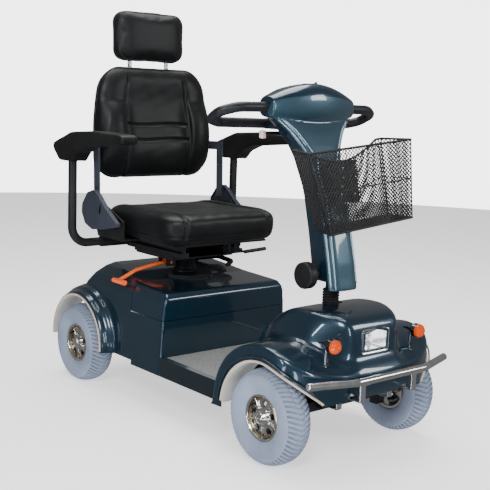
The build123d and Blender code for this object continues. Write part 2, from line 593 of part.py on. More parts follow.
PLATE_LOW_Z, PLATE_HIGH_Z = 436.0, 441.0
SPINDLE_RADIUS = 10.0
LEVER_PIVOT = (-70.0, POST_Y, 420.0)
collar = [(0, 20), (0, 42), (6, 42), (10, 36)]
for k in range(5):
    low = 12 + 8.6 * k
    collar += [(low, 36 - 0.5 * k), (low + 4.3, 34 - 0.5 * k)]
collar += [(55, 36), (55, 20)]
post = rod((0, POST_Y, 190), (0, POST_Y, PLATE_HIGH_Z), POST_RADIUS - RUNNING_CLEARANCE)
post += turned(collar, (0, POST_Y, 384), (0, 0, 1))
post += box((-104, POST_Y - 60, PLATE_LOW_Z), (60, POST_Y + 60, PLATE_HIGH_Z))
for y in (POST_Y - 24, POST_Y + 18):
    post += box((-88, y, 408), (-52, y + 6, PLATE_LOW_Z + 1))
post -= rod((0, POST_Y, 390), (0, POST_Y, 460), SPINDLE_RADIUS)
post -= rod((LEVER_PIVOT[0], POST_Y - 40, LEVER_PIVOT[2]), (LEVER_PIVOT[0], POST_Y + 40, LEVER_PIVOT[2]), 5)
node("seat_post", one(post))

lever_path = [(-70, POST_Y, 420), (-120, POST_Y, 414), (-192, POST_Y, 402), (-255, POST_Y, 374)]
lever = bent_rod(lever_path, 6, [60, 60])
lever += rod((-70, POST_Y - 23, 420), (-70, POST_Y + 23, 420), 5 - RUNNING_CLEARANCE)
lever += rod((-70, POST_Y - 16, 420), (-70, POST_Y + 16, 420), 8)
lever += rod((-255, POST_Y - 33, 370), (-255, POST_Y + 33, 370), 8)
node("swivel_lever", one(lever))

RAIL_SEAT_X = 110.0
swivel = box((-125, POST_Y - 100, PLATE_HIGH_Z + 0.6), (125, POST_Y + 100, 447))
swivel += rod((0, POST_Y, 402), (0, POST_Y, 447), SPINDLE_RADIUS - RUNNING_CLEARANCE)
for x in (-RAIL_SEAT_X, RAIL_SEAT_X):
    swivel += box((x - 15, 190, 447), (x + 15, 410, 455))
node("swivel_plate", one(swivel))

SLIDE_LEVER_PIVOT = (64.0, 130.0, 476.0)
COVER_IN_X, COVER_OUT_X = 259.0, 276.0
seat_frame = box((-185, 100, 498), (185, 430, SEAT_BOTTOM_Z))
for side in (-1, 1):
    x = side * RAIL_SEAT_X
    seat_frame += box((x - 18, 150, 455.6), (x + 18, 450, 470)) + box((x - 6, 150, 470), (x + 6, 450, 498))
    low, high = sorted((side * 180, side * 249))
    seat_frame += box((low, 290, 498), (high, 440, SEAT_BOTTOM_Z))
    low, high = sorted((side * 243, side * 249))
    seat_frame += side_plate([(290, 498), (290, 560), (420, 612), (462, 606), (470, 560), (440, 498)],
                             low, high)
    for y, z in ((383, 554), (323, 548)):
        seat_frame += rod((side * 245, y, z), (side * COVER_IN_X, y, z), 6)
    seat_frame += box((x - 6, 440, 470), (x + 6, 470, 498))
seat_frame += rod((-225, ARM_TUBE_Y, ARM_SLEEVE_Z), (225, ARM_TUBE_Y, ARM_SLEEVE_Z), 18)
seat_frame += box((46, 124, 466), (58, 150, 500)) + box((70, 124, 466), (82, 150, 500))
seat_frame += box((46, 146, 480), (116, 152, 500))
seat_frame -= rod((40, 130, 476), (90, 130, 476), 4)
seat_frame -= rod((-240, ARM_TUBE_Y, ARM_SLEEVE_Z), (240, ARM_TUBE_Y, ARM_SLEEVE_Z),
                  ARM_TUBE_RADIUS + RUNNING_CLEARANCE)
PIVOT_PIN = 7.0
for side in (-1, 1):
    seat_frame -= rod((side * 230, RECLINE_Y, RECLINE_Z), (side * 255, RECLINE_Y, RECLINE_Z), PIVOT_PIN)
    seat_frame -= rod((side * 214, ARM_TUBE_Y, 485), (side * 214, ARM_TUBE_Y, 500), 3)
node("seat_frame", one(seat_frame))

slide_lever = box((60, 60, 473), (68, 134, 479)) + rod((64, 62, 476), (150, 62, 480), 6)
slide_lever += rod((47, 130, 476), (81, 130, 476), 4 - RUNNING_CLEARANCE)
slide_lever += rod((60, 130, 476), (68, 130, 476), 7)
node("slide_lever", one(slide_lever))

cushion = rounded_box((-SEAT_HALF_WIDTH, SEAT_FRONT_Y, SEAT_BOTTOM_Z + 0.3),
                      (SEAT_HALF_WIDTH, SEAT_BACK_Y, SEAT_TOP_Z), 70)
node("seat_cushion", cushion)

# recliner covers, uprights and back
COVER_OUTLINE = [(429, 652), (468, 640), (500, 600), (502, 570), (480, 536), (438, 521), (360, 530), (288, 546),
                 (290, 556), (360, 600), (404, 638)]
covers = []
for side in (-1, 1):
    low, high = sorted((side * COVER_IN_X, side * COVER_OUT_X))
    skin = side_plate(COVER_OUTLINE, low, high)
    inside = side_plate(inset_outline(COVER_OUTLINE, 3), *sorted((side * 240, side * (COVER_OUT_X - 3))))
    posts = rod((side * (COVER_IN_X + 0.2), 383, 554), (side * COVER_OUT_X, 383, 554), 8)
    posts += rod((side * (COVER_IN_X + 0.2), 323, 548), (side * COVER_OUT_X, 323, 548), 8)
    cover = one((skin - inside) + (posts & side_plate(COVER_OUTLINE, low, high)))
    cover -= box((side * 266 - 12, 384, 578), (side * 266 + 12, 396, 606))
    covers.append(one(cover - rod((250, RECLINE_Y, RECLINE_Z), (280, RECLINE_Y, RECLINE_Z), 4.05)))
node("recliner_covers", *covers)

back_frame = None
for side in (-1, 1):
    low, high = sorted((side * 250.5, side * 257))
    strip = box((low, RECLINE_Y - 15, RECLINE_Z - 14), (high, RECLINE_Y + 15, 806))
    strip += rod((side * 250.5, RECLINE_Y, RECLINE_Z), (side * 257, RECLINE_Y, RECLINE_Z), 19)
    strip += rod((side * 242, RECLINE_Y, RECLINE_Z), (side * 257, RECLINE_Y, RECLINE_Z),
                 PIVOT_PIN - RUNNING_CLEARANCE)
    low, high = sorted((side * 250.5, side * 257))
    strip += box((low, RECLINE_Y, 776), (high, RECLINE_Y + 104, 806))
    back_frame = strip if back_frame is None else back_frame + strip
back_frame += box((-257, RECLINE_Y + 98, 776), (257, RECLINE_Y + 104, 806))
back_frame += box((-170, RECLINE_Y + 92, 700), (170, RECLINE_Y + 98, 1010))
for x in (-75, 75):
    back_frame += rod((x, RECLINE_Y + 80, 960), (x, RECLINE_Y + 80, 1040), 11)
    back_frame += box((x - 8, RECLINE_Y + 80, 962), (x + 8, RECLINE_Y + 95, 1008))
    back_frame -= rod((x, RECLINE_Y + 80, 950), (x, RECLINE_Y + 80, 1050), 7)
back_frame = tilted_back(one(back_frame))
node("backrest_frame", back_frame)

back_pad = rounded_box((-238, RECLINE_Y + 14, 676), (238, RECLINE_Y + 91.7, 1060), 92, Axis.Y)
for side in (-1, 1):
    low, high = sorted((side * 150, side * 234))
    back_pad += side_plate([(RECLINE_Y + 16, 710), (RECLINE_Y - 22, 740), (RECLINE_Y - 26, 830),
                            (RECLINE_Y + 16, 960)],
                           low, high)
for x in (-75, 75):
    back_pad -= box((x - 12, RECLINE_Y + 68, 950), (x + 12, RECLINE_Y + 95, 1080))
node("backrest_cushion", tilted_back(one(back_pad)))

HEAD_LOW_Z, HEAD_HIGH_Z = 1068.0, 1246.0
posts = []
for x in (-75, 75):
    posts.append(rod((x, RECLINE_Y + 80, 970), (x, RECLINE_Y + 80, HEAD_LOW_Z + 40), 7 - RUNNING_CLEARANCE))
node("headrest_posts", *[tilted_back(p) for p in posts])
head_pad = rounded_box((-142, RECLINE_Y + 32, HEAD_LOW_Z), (142, RECLINE_Y + 122, HEAD_HIGH_Z), 34, Axis.Y)
for p in posts:
    head_pad -= p
node("headrest_cushion", tilted_back(one(head_pad)))

# recline lever, on the rider's left recliner
recline_lever = rod((278, RECLINE_Y, RECLINE_Z), (290, RECLINE_Y, RECLINE_Z), 14)
recline_lever += rod((257.4, RECLINE_Y, RECLINE_Z), (290, RECLINE_Y, RECLINE_Z), 4)
recline_lever += side_plate([(436, 598), (340, 574), (334, 562), (344, 558), (440, 580)], 280, 290)
node("recline_lever", one(recline_lever))

# ---------------------------------------------------------------- armrests

PAD_SIDE = [(132, 812), (126, 828), (136, 842), (300, 846), (430, 838), (540, 800), (545, 788), (536, 774),
            (500, 742),
            (420, 742), (392, 772), (330, 796), (210, 806)]
right_tube = bent_rod([(-110, ARM_TUBE_Y, ARM_SLEEVE_Z), (-ARM_X, ARM_TUBE_Y, ARM_SLEEVE_Z),
                       (-ARM_X, ARM_TUBE_Y, ARM_PIVOT_Z)], ARM_TUBE_RADIUS, 55)
eye_low, eye_high = (-ARM_X - 14, ARM_TUBE_Y, ARM_PIVOT_Z), (-ARM_X + 14, ARM_TUBE_Y, ARM_PIVOT_Z)
right_tube = one(right_tube + rod(eye_low, eye_high, 13.8) - rod(eye_low, eye_high, 5))
for side, hand in ((-1, "right"), (1, "left")):
    x = side * ARM_X
    node("armrest_tube_" + hand, right_tube if side < 0 else mirror(right_tube, about=Plane.YZ))
    pad = side_plate(PAD_SIDE, x - 31, x + 31)
    pad -= box((x - 15, 425, 700), (x + 15, 600, 781))
    pad += rod((x - 24, ARM_TUBE_Y, ARM_PIVOT_Z), (x + 24, ARM_TUBE_Y, ARM_PIVOT_Z), 5 - RUNNING_CLEARANCE)
    node("armrest_pad_" + hand, one(pad))
    knob_x = side * 214
    top = rod((knob_x, ARM_TUBE_Y, 493.6), (knob_x, ARM_TUBE_Y, 503), 9)
    top += rod((knob_x, ARM_TUBE_Y, 489.3), (knob_x, ARM_TUBE_Y, 495), 3 - RUNNING_CLEARANCE)
    node("armrest_knob_" + hand, one(top))

os.makedirs("parts", exist_ok=True)
for name, solids in NODES.items():
    shape = solids[0] if len(solids) == 1 else Compound(children=solids)
    export_step(shape, os.path.join("parts", name + ".step"))
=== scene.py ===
"""Looks of the four-wheel mobility scooter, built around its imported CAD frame."""

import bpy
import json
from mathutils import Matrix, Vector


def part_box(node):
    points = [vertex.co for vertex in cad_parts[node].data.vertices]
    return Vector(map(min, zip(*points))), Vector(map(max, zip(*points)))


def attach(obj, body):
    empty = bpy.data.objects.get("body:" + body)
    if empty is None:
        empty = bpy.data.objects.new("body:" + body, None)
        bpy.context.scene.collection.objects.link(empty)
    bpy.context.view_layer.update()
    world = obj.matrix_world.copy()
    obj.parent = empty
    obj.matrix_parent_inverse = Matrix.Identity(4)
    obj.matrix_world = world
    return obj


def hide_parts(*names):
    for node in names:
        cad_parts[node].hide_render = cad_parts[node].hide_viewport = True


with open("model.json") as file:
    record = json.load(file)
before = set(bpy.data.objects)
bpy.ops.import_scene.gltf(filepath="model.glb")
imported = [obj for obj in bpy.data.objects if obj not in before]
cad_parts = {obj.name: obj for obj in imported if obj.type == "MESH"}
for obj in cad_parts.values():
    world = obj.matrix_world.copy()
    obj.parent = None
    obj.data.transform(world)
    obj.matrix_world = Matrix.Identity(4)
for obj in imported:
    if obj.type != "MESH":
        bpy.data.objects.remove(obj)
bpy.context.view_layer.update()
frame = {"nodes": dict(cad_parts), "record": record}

import json
import math

import bmesh
import bpy
import numpy as np
from mathutils import Matrix, Vector

MM = 0.001
NODES = frame["nodes"]
SCENE = bpy.context.scene

# ---------------------------------------------------------------- materials


def material(name, colour, roughness=0.5, metallic=0.0, **sockets):
    """A Principled material; the constants sit on the shader's own sockets."""
    made = bpy.data.materials.new(name)
    made.use_nodes = True
    shader = made.node_tree.nodes["Principled BSDF"]
    shader.inputs["Base Color"].default_value = (*colour, 1)
    shader.inputs["Roughness"].default_value = roughness
    shader.inputs["Metallic"].default_value = metallic
    for socket, value in sockets.items():
        shader.inputs[socket.replace("_", " ")].default_value = value
    return made


def texture(mat, kind, scale, **values):
    """A procedural texture in object space."""
    nodes, links = mat.node_tree.nodes, mat.node_tree.links
    where = nodes.get("Where") or nodes.new("ShaderNodeTexCoord")
    where.name = "Where"
    made = nodes.new(kind)
    links.new(where.outputs["Object"], made.inputs["Vector"])
    made.inputs["Scale"].default_value = scale
    for socket, value in values.items():
        made.inputs[socket.replace("_", " ")].default_value = value
    return made


def mottle(mat, source, output, low, high, start=0.35, end=0.65):
    """Colours the surface between two colours by a texture."""
    nodes, links = mat.node_tree.nodes, mat.node_tree.links
    ramp = nodes.new("ShaderNodeValToRGB")
    ramp.color_ramp.elements[0].position, ramp.color_ramp.elements[0].color = start, (*low, 1)
    ramp.color_ramp.elements[1].position, ramp.color_ramp.elements[1].color = end, (*high, 1)
    links.new(source.outputs[output], ramp.inputs["Fac"])
    links.new(ramp.outputs["Color"], nodes["Principled BSDF"].inputs["Base Color"])


def rough_between(mat, source, output, low, high):
    """Varies the gloss between two roughnesses by a texture."""
    nodes, links = mat.node_tree.nodes, mat.node_tree.links
    spread = nodes.new("ShaderNodeMapRange")
    spread.inputs["To Min"].default_value, spread.inputs["To Max"].default_value = low, high
    links.new(source.outputs[output], spread.inputs["Value"])
    links.new(spread.outputs["Result"], nodes["Principled BSDF"].inputs["Roughness"])


def bump(mat, source, output, strength, distance):
    """Adds a texture as relief, on top of any relief the material already has."""
    nodes, links = mat.node_tree.nodes, mat.node_tree.links
    made = nodes.new("ShaderNodeBump")
    made.inputs["Strength"].default_value = strength
    made.inputs["Distance"].default_value = distance
    links.new(source.outputs[output], made.inputs["Height"])
    previous = nodes.get("Last bump")
    if previous:
        previous.name = "Earlier bump"
        links.new(previous.outputs["Normal"], made.inputs["Normal"])
    made.name = "Last bump"
    links.new(made.outputs["Normal"], nodes["Principled BSDF"].inputs["Normal"])


def paint(name, dark, light):
    """Metallic lacquer: flakes under a clear coat, a slow drift of gloss and a faint polishing haze."""
    mat = material(name, dark, 0.3, 0.55, Coat_Weight=1.0, Coat_Roughness=0.04, Coat_IOR=1.5)
    flakes = texture(mat, "ShaderNodeTexVoronoi", 900.0)
    mottle(mat, flakes, "Distance", light, dark, 0.0, 0.55)
    drift = texture(mat, "ShaderNodeTexNoise", 3.0, Detail=3.0)
    rough_between(mat, drift, "Fac", 0.24, 0.38)
    haze = texture(mat, "ShaderNodeTexNoise", 60.0, Detail=2.0)
    bump(mat, haze, "Fac", 0.02, 0.0004)
    return mat


def moulded(name, dark, light, roughness=(0.38, 0.55), grain=700.0, depth=0.12, **sockets):
    """Moulded plastic, coated steel or rubber: a fine grain, uneven tone and gloss."""
    sockets.setdefault("Specular_IOR_Level", 0.25)
    mat = material(name, dark, roughness[0], 0.0, **sockets)
    cloud = texture(mat, "ShaderNodeTexNoise", 9.0, Detail=5.0, Roughness=0.6)
    mottle(mat, cloud, "Fac", dark, light, 0.35, 0.8)
    rough_between(mat, cloud, "Fac", *roughness)
    fine = texture(mat, "ShaderNodeTexNoise", grain, Detail=2.0)
    bump(mat, fine, "Fac", depth, 0.0005)
    return mat


def vinyl(name, dark, light):
    """Leathercloth: small cells, soft creases, uneven gloss and a slight sheen."""
    mat = material(name, dark, 0.40, 0.0, Specular_IOR_Level=0.24, Sheen_Weight=0.03, Sheen_Roughness=0.4)
    cloud = texture(mat, "ShaderNodeTexNoise", 7.0, Detail=4.0)
    mottle(mat, cloud, "Fac", dark, light, 0.4, 0.75)
    rough_between(mat, cloud, "Fac", 0.34, 0.5)
    cells = texture(mat, "ShaderNodeTexVoronoi", 420.0)
    bump(mat, cells, "Distance", 0.22, 0.0006)
    creases = texture(mat, "ShaderNodeTexNoise", 38.0, Detail=6.0, Distortion=0.6)
    bump(mat, creases, "Fac", 0.06, 0.0008)
    return mat


def bright(name, colour, roughness=(0.05, 0.16), **sockets):
    """Plated or polished metal with faint wiping marks."""
    mat = material(name, colour, roughness[0], 1.0, **sockets)
    smear = texture(mat, "ShaderNodeTexNoise", 26.0, Detail=4.0, Distortion=1.2)
    rough_between(mat, smear, "Fac", *roughness)
    mottle(mat, smear, "Fac", tuple(c * 0.86 for c in colour), colour, 0.3, 0.6)
    return mat


def speckled(name, low, high):
    """Floor rubber with pressed flecks."""
    mat = material(name, low, 0.8)
    flecks = texture(mat, "ShaderNodeTexNoise", 520.0, Detail=2.0, Roughness=0.7)
    mottle(mat, flecks, "Fac", low, high, 0.42, 0.58)
    bump(mat, flecks, "Fac", 0.5, 0.001)
    return mat


def clear(name, colour, roughness, weight=1.0):
    """Moulded lamp plastic that light passes through."""
    mat = material(name, colour, roughness, 0.0, Transmission_Weight=weight, IOR=1.45)
    ripple = texture(mat, "ShaderNodeTexNoise", 90.0, Detail=1.0)
    bump(mat, ripple, "Fac", 0.08, 0.0005)
    return mat


LOOKS = {
    "body_paint": paint("navy_lacquer", (0.004, 0.018, 0.034), (0.013, 0.055, 0.090)),
    "tiller_paint": paint("teal_lacquer", (0.026, 0.062, 0.088), (0.062, 0.128, 0.175)),
    "floor_shell": paint("sill_lacquer", (0.004, 0.013, 0.020), (0.010, 0.030, 0.044)),
    # pale lacquer for the tiller ribs and the battery cover's parting line: a painted highlight, standing in
    # for the light their edges catch
    "highlight_paint": paint("highlight_lacquer", (0.36, 0.46, 0.55), (0.60, 0.72, 0.80)),
    "tyre_grey": moulded("tyre_rubber", (0.165, 0.195, 0.265), (0.25, 0.29, 0.375), (0.62, 0.8), 500.0, 0.35),
    "hub_chrome": bright("hub_plating", (0.86, 0.84, 0.80), (0.08, 0.25)),
    "rim_gold": bright("rim_ring", (0.52, 0.40, 0.24), (0.2, 0.38)),
    "chrome": bright("chrome_plating", (0.80, 0.80, 0.79), (0.12, 0.26)),
    "steel": bright("brushed_steel", (0.50, 0.50, 0.51), (0.22, 0.36)),
    "black_steel": moulded("black_enamel", (0.008, 0.008, 0.009), (0.018, 0.018, 0.02), (0.3, 0.48), 420.0,
                           0.08),
    "dark_chrome": bright("dark_plating", (0.16, 0.17, 0.19), (0.06, 0.2)),
    "black_plastic": moulded("black_plastic", (0.005, 0.005, 0.006), (0.013, 0.013, 0.014)),
    "handle_black": moulded("handle_grip", (0.008, 0.008, 0.010), (0.020, 0.020, 0.024), (0.28, 0.42),
                            800.0, 0.1),
    "armrest_black": moulded("armrest_foam", (0.004, 0.004, 0.004), (0.011, 0.011, 0.011), (0.42, 0.58),
                             600.0, 0.25),
    "rubber_black": moulded("boot_rubber", (0.010, 0.010, 0.012), (0.024, 0.024, 0.026), (0.4, 0.55), 500.0,
                            0.2),
    "grey_plastic": moulded("slate_plastic", (0.024, 0.028, 0.040), (0.040, 0.046, 0.062), (0.42, 0.58),
                            650.0, 0.2),
    "liner_grey": moulded("liner_plastic", (0.46, 0.46, 0.44), (0.60, 0.59, 0.56), (0.5, 0.7), 300.0, 0.15),
    "lip_beige": moulded("lip_rubber", (0.40, 0.33, 0.25), (0.52, 0.44, 0.34), (0.4, 0.55), 500.0, 0.1),
    "floor_grey": speckled("floor_rubber", (0.09, 0.095, 0.095), (0.27, 0.28, 0.27)),
    "vinyl_black": vinyl("black_vinyl", (0.0030, 0.0033, 0.0036), (0.0065, 0.007, 0.0075)),
    "piping": moulded("seam_piping", (0.007, 0.007, 0.008), (0.016, 0.016, 0.017), (0.25, 0.4), 500.0, 0.2),
    "amber": clear("amber_lens", (0.70, 0.075, 0.002), 0.1, 0.3),
    "lamp_glass": clear("headlight_glass", (0.97, 0.98, 1.0), 0.02),
    "lamp_red": clear("red_lens", (0.75, 0.02, 0.02), 0.15, 0.5),
    # the reflector's faint emission is a painted glow standing in for the light it reflects; the headlight is
    # not lit
    "reflector": bright("mirror_plating_painted_glow", (0.9, 0.9, 0.9), (0.1, 0.2), Emission_Color=(0.95, 0.97, 1, 1),
                        Emission_Strength=0.25),
    "orange_lever": moulded("orange_enamel", (0.80, 0.105, 0.018), (0.88, 0.14, 0.03), (0.26, 0.4), 300.0,
                            0.05),
    "battery_case": moulded("battery_case", (0.02, 0.02, 0.022), (0.04, 0.04, 0.045)),
    "controller_case": bright("finned_aluminium", (0.45, 0.45, 0.46), (0.3, 0.45)),
    "drive_case": bright("cast_aluminium", (0.28, 0.29, 0.30), (0.35, 0.55)),
    "basket_mesh": moulded("coated_wire", (0.010, 0.010, 0.011), (0.02, 0.02, 0.02), (0.35, 0.5), 900.0, 0.1),
    "paddle_white": moulded("paddle_plastic", (0.62, 0.46, 0.42), (0.74, 0.58, 0.54), (0.25, 0.35), 300.0,
                            0.05),
    "floor": moulded("studio_floor", (0.80, 0.80, 0.80), (0.84, 0.84, 0.84), (0.75, 0.85), 8.0, 0.0,
                     Emission_Color=(1, 1, 1, 1), Emission_Strength=0.95),
    "backdrop": moulded("studio_wall", (0.80, 0.80, 0.80), (0.84, 0.84, 0.84), (0.8, 0.9), 4.0, 0.0,
                        Emission_Color=(1, 1, 1, 1), Emission_Strength=3.6),
}

SLOT_OF = {row["node"]: row["material_slot"] for row in frame["record"]["subparts"]}
BODY_OF = {n: body for body, members in frame["record"]["behaviour"]["bodies"].items() for n in members}
for name, piece in NODES.items():
    piece.data.materials.clear()
    piece.data.materials.append(LOOKS["dark_chrome" if name == "indicator_housings" else SLOT_OF[name]])

# ---------------------------------------------------------------- mesh helpers


def mesh_object(name, points, faces, smooth=True):
    """A mesh whose points are given in millimetres."""
    data = bpy.data.meshes.new(name)
    data.from_pydata([tuple(float(c) * MM for c in p) for p in points], [], [tuple(f) for f in faces])
    made = bpy.data.objects.new(name, data)
    SCENE.collection.objects.link(made)
    data.validate()
    outward(made)
    data.polygons.foreach_set("use_smooth", [smooth] * len(data.polygons))
    return made


def edited(made, change):
    """Runs a change on a piece's mesh by way of bmesh."""
    work = bmesh.new()
    work.from_mesh(made.data)
    change(work)
    work.to_mesh(made.data)
    work.free()
    return made


def outward(made):
    """Turns every face to look outwards."""
    return edited(made, lambda work: bmesh.ops.recalc_face_normals(work, faces=work.faces))


def grid_faces(rows, columns, close_rows=False, close_columns=False):
    """Quads of a grid whose points are listed row after row."""
    faces = []
    for i in range(rows if close_rows else rows - 1):
        for j in range(columns if close_columns else columns - 1):
            a, b = i * columns, ((i + 1) % rows) * columns
            k = (j + 1) % columns
            faces.append((a + j, a + k, b + k, b + j))
    return faces


def applied(made, *modifiers):
    """Runs modifiers, each (type, settings), and keeps only their result."""
    for kind, settings in modifiers:
        added = made.modifiers.new(kind, kind)
        for key, value in settings.items():
            setattr(added, key, value)
    bpy.context.view_layer.update()
    done = bpy.data.meshes.new_from_object(made.evaluated_get(bpy.context.evaluated_depsgraph_get()))
    made.modifiers.clear()
    made.data = done
    return made


def creased(made, degrees):
    """Marks the edges sharper than an angle, where smooth shading breaks."""
    made.data.set_sharp_from_angle(angle=math.radians(degrees))
    return made


def smoothed(made, degrees):
    """Smooth shading on every face, but for the sharp edges."""
    made.data.polygons.foreach_set("use_smooth", [True] * len(made.data.polygons))
    return creased(made, degrees)


def bevelled(made, width, segments):
    """Rounds every edge sharper than 30 degrees."""
    applied(made, ("BEVEL", dict(width=width * MM, segments=segments, limit_method="ANGLE",
                                 angle_limit=math.radians(30), harden_normals=False)))
    return smoothed(made, 50)


def remeshed(made, voxel, rounds):
    """Rebuilds a form as an even mesh and eases its corners."""
    return applied(made, ("REMESH", dict(mode="VOXEL", voxel_size=voxel * MM, use_smooth_shade=True)),
                   ("SMOOTH", dict(factor=0.5, iterations=rounds)))


def joined(name, *pieces):
    """Several meshes as one object."""
    work = bmesh.new()
    for piece in pieces:
        work.from_mesh(piece.data)
    data = bpy.data.meshes.new(name)
    work.to_mesh(data)
    work.free()
    made = bpy.data.objects.new(name, data)
    SCENE.collection.objects.link(made)
    for piece in pieces:
        bpy.data.objects.remove(piece)
    return made


def placed(made, body, look, replaces=()):
    """Gives a finished piece its material and its CAD body, and hides the CAD nodes it stands for."""
    made.data.materials.clear()
    made.data.materials.append(LOOKS[look])
    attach(made, body)
    if replaces:
        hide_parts(*replaces)
    return made


def lathe(name, profile, centre, axis, count):
    """A closed profile of (distance along the axis, radius) turned about an axis."""
    along = Vector(axis).normalized()
    side = along.orthogonal().normalized()
    third = along.cross(side)
    points = []
    for k in range(count):
        turn = 2 * math.pi * k / count
        out = side * math.cos(turn) + third * math.sin(turn)
        for a, r in profile:
            points.append(Vector(centre) + along * a + out * max(r, 0.001))
    return mesh_object(name, points, grid_faces(count, len(profile), True, True))


def curved(points, count):
    """A smooth line through points, evenly stepped between each two."""
    p = [np.array(q, float) for q in points]
    p = [2 * p[0] - p[1]] + p + [2 * p[-1] - p[-2]]
    line = []
    for k in range(1, len(p) - 2):
        for s in range(count):
            t = s / count
            line.append(0.5 * (2 * p[k] + (p[k + 1] - p[k - 1]) * t
                               + (2 * p[k - 1] - 5 * p[k] + 4 * p[k + 1] - p[k + 2]) * t ** 2
                               + (3 * p[k] - p[k - 1] - 3 * p[k + 1] + p[k + 2]) * t ** 3))
    line.append(p[-2])
    return line


def filleted(points, radius, count=8):
    """Straight runs joined by arcs of one radius."""
    points = [Vector(p) for p in points]
    line = [points[0]]
    for before, corner, after in zip(points, points[1:], points[2:]):
        a, b = (before - corner).normalized(), (after - corner).normalized()
        half = a.angle(b) / 2
        reach = min(radius / math.tan(half), 0.49 * (before - corner).length, 0.49 * (after - corner).length)
        r = reach * math.tan(half)
        centre = corner + (a + b).normalized() * (r / math.sin(half))
        start, end = corner + a * reach - centre, corner + b * reach - centre
        for s in range(count + 1):
            line.append(centre + start.slerp(end, s / count))
    line.append(points[-1])
    return line


def tube(name, line, radius, sides=16, capped=True, round_ends=False):
    """A round bar along a line; radius is one number or one for each point."""
    line = [Vector(p) for p in line]
    radii = list(radius) if hasattr(radius, "__len__") else [radius] * len(line)
    if round_ends:
        first, last = (line[0] - line[1]).normalized(), (line[-1] - line[-2]).normalized()
        bulge = [(math.sin(t), math.cos(t)) for t in (1.45, 1.1, 0.75, 0.4)]
        line = [line[0] + first * radii[0] * s for s, c in bulge] + line \
            + [line[-1] + last * radii[-1] * s for s, c in reversed(bulge)]
        radii = [radii[0] * c for s, c in bulge] + radii + [radii[-1] * c for s, c in reversed(bulge)]
    ahead = (line[1] - line[0]).normalized()
    across = ahead.orthogonal().normalized()
    points = []
    for k, at in enumerate(line):
        way = (line[min(k + 1, len(line) - 1)] - line[max(k - 1, 0)]).normalized()
        across = (across - way * across.dot(way)).normalized()
        third = way.cross(across)
        for s in range(sides):
            turn = 2 * math.pi * s / sides
            points.append(at + (across * math.cos(turn) + third * math.sin(turn)) * radii[k])
    faces = grid_faces(len(line), sides, False, True)
    if capped:
        faces += [tuple(range(sides)), tuple(range(len(points) - sides, len(points)))]
    return creased(mesh_object(name, points, faces), 50)


def plate(name, outline, plane, low, high):
    """A closed outline pushed between two depths; plane is 'yz', 'xy' or 'xz'."""
    place = {"yz": lambda u, v, d: (d, u, v), "xy": lambda u, v, d: (u, v, d),
             "xz": lambda u, v, d: (u, d, v)}[plane]
    n = len(outline)
    points = [place(u, v, low) for u, v in outline] + [place(u, v, high) for u, v in outline]
    faces = [tuple(range(n)), tuple(range(2 * n - 1, n - 1, -1))]
    faces += [(k, (k + 1) % n, n + (k + 1) % n, n + k) for k in range(n)]
    return mesh_object(name, points, faces, False)


def carved(made, cutter, operation="DIFFERENCE"):
    """Takes one mesh out of another, or with INTERSECT keeps what both share."""
    applied(made, ("BOOLEAN", dict(operation=operation, object=cutter, solver="EXACT")))
    bpy.data.objects.remove(cutter)
    return made


def kept_faces(made, keep):
    """Deletes the faces whose middle, in millimetres, fails a test."""
    def cut(work):
        gone = [f for f in work.faces if not keep(f.calc_center_median() / MM, f.normal)]
        bmesh.ops.delete(work, geom=gone, context="FACES")

    return edited(made, cut)


# ---------------------------------------------------------------- stuffed pieces


def pillow(name, half_u, half_v, corner, low, high, place, rings=26, spokes=120):
    """A closed pad over a rounded rectangle: low(u, v, e) and high(u, v, e) give its two faces.

    e is 1 in the middle and falls to 0 at the rim, where both faces meet.
    """
    outline = []
    for k in range(spokes):
        turn = 2 * math.pi * (k + 0.5) / spokes
        c, s = math.cos(turn), math.sin(turn)
        inner_u, inner_v = half_u - corner, half_v - corner
        reach = min(half_u / max(abs(c), 1e-9), half_v / max(abs(s), 1e-9))
        if abs(reach * c) > inner_u and abs(reach * s) > inner_v:
            b = inner_u * abs(c) + inner_v * abs(s)
            reach = b + math.sqrt(max(b * b - inner_u ** 2 - inner_v ** 2 + corner ** 2, 0))
        outline.append((reach * c, reach * s))
    points, faces = [], []
    for height in (low, high):
        points.append(place(0, 0, height(0, 0, 1.0)))
        for i in range(1, rings + 1):
            share = math.sin(math.pi / 2 * i / rings)
            e = (1 - share ** 5) ** 0.42
            for u, v in outline:
                points.append(place(u * share, v * share, height(u * share, v * share, e)))
    size = rings * spokes + 1
    for face in (0, 1):
        base = face * size
        for k in range(spokes):
            faces.append((base, base + 1 + k, base + 1 + (k + 1) % spokes))
            for i in range(rings - 1):
                a, b = base + 1 + i * spokes, base + 1 + (i + 1) * spokes
                faces.append((a + k, b + k, b + (k + 1) % spokes, a + (k + 1) % spokes))
    for k in range(spokes):
        a, b = (rings - 1) * spokes + 1, size + (rings - 1) * spokes + 1
        faces.append((a + k, b + k, b + (k + 1) % spokes, a + (k + 1) % spokes))
    return mesh_object(name, points, faces)


def coordinates(made):
    co = np.zeros(len(made.data.vertices) * 3)
    made.data.vertices.foreach_get("co", co)
    return co.reshape(-1, 3) / MM


def set_coordinates(made, co):
    made.data.vertices.foreach_set("co", (co * MM).ravel())
    made.data.update()


CLOTH_STIFFNESS = 12.0


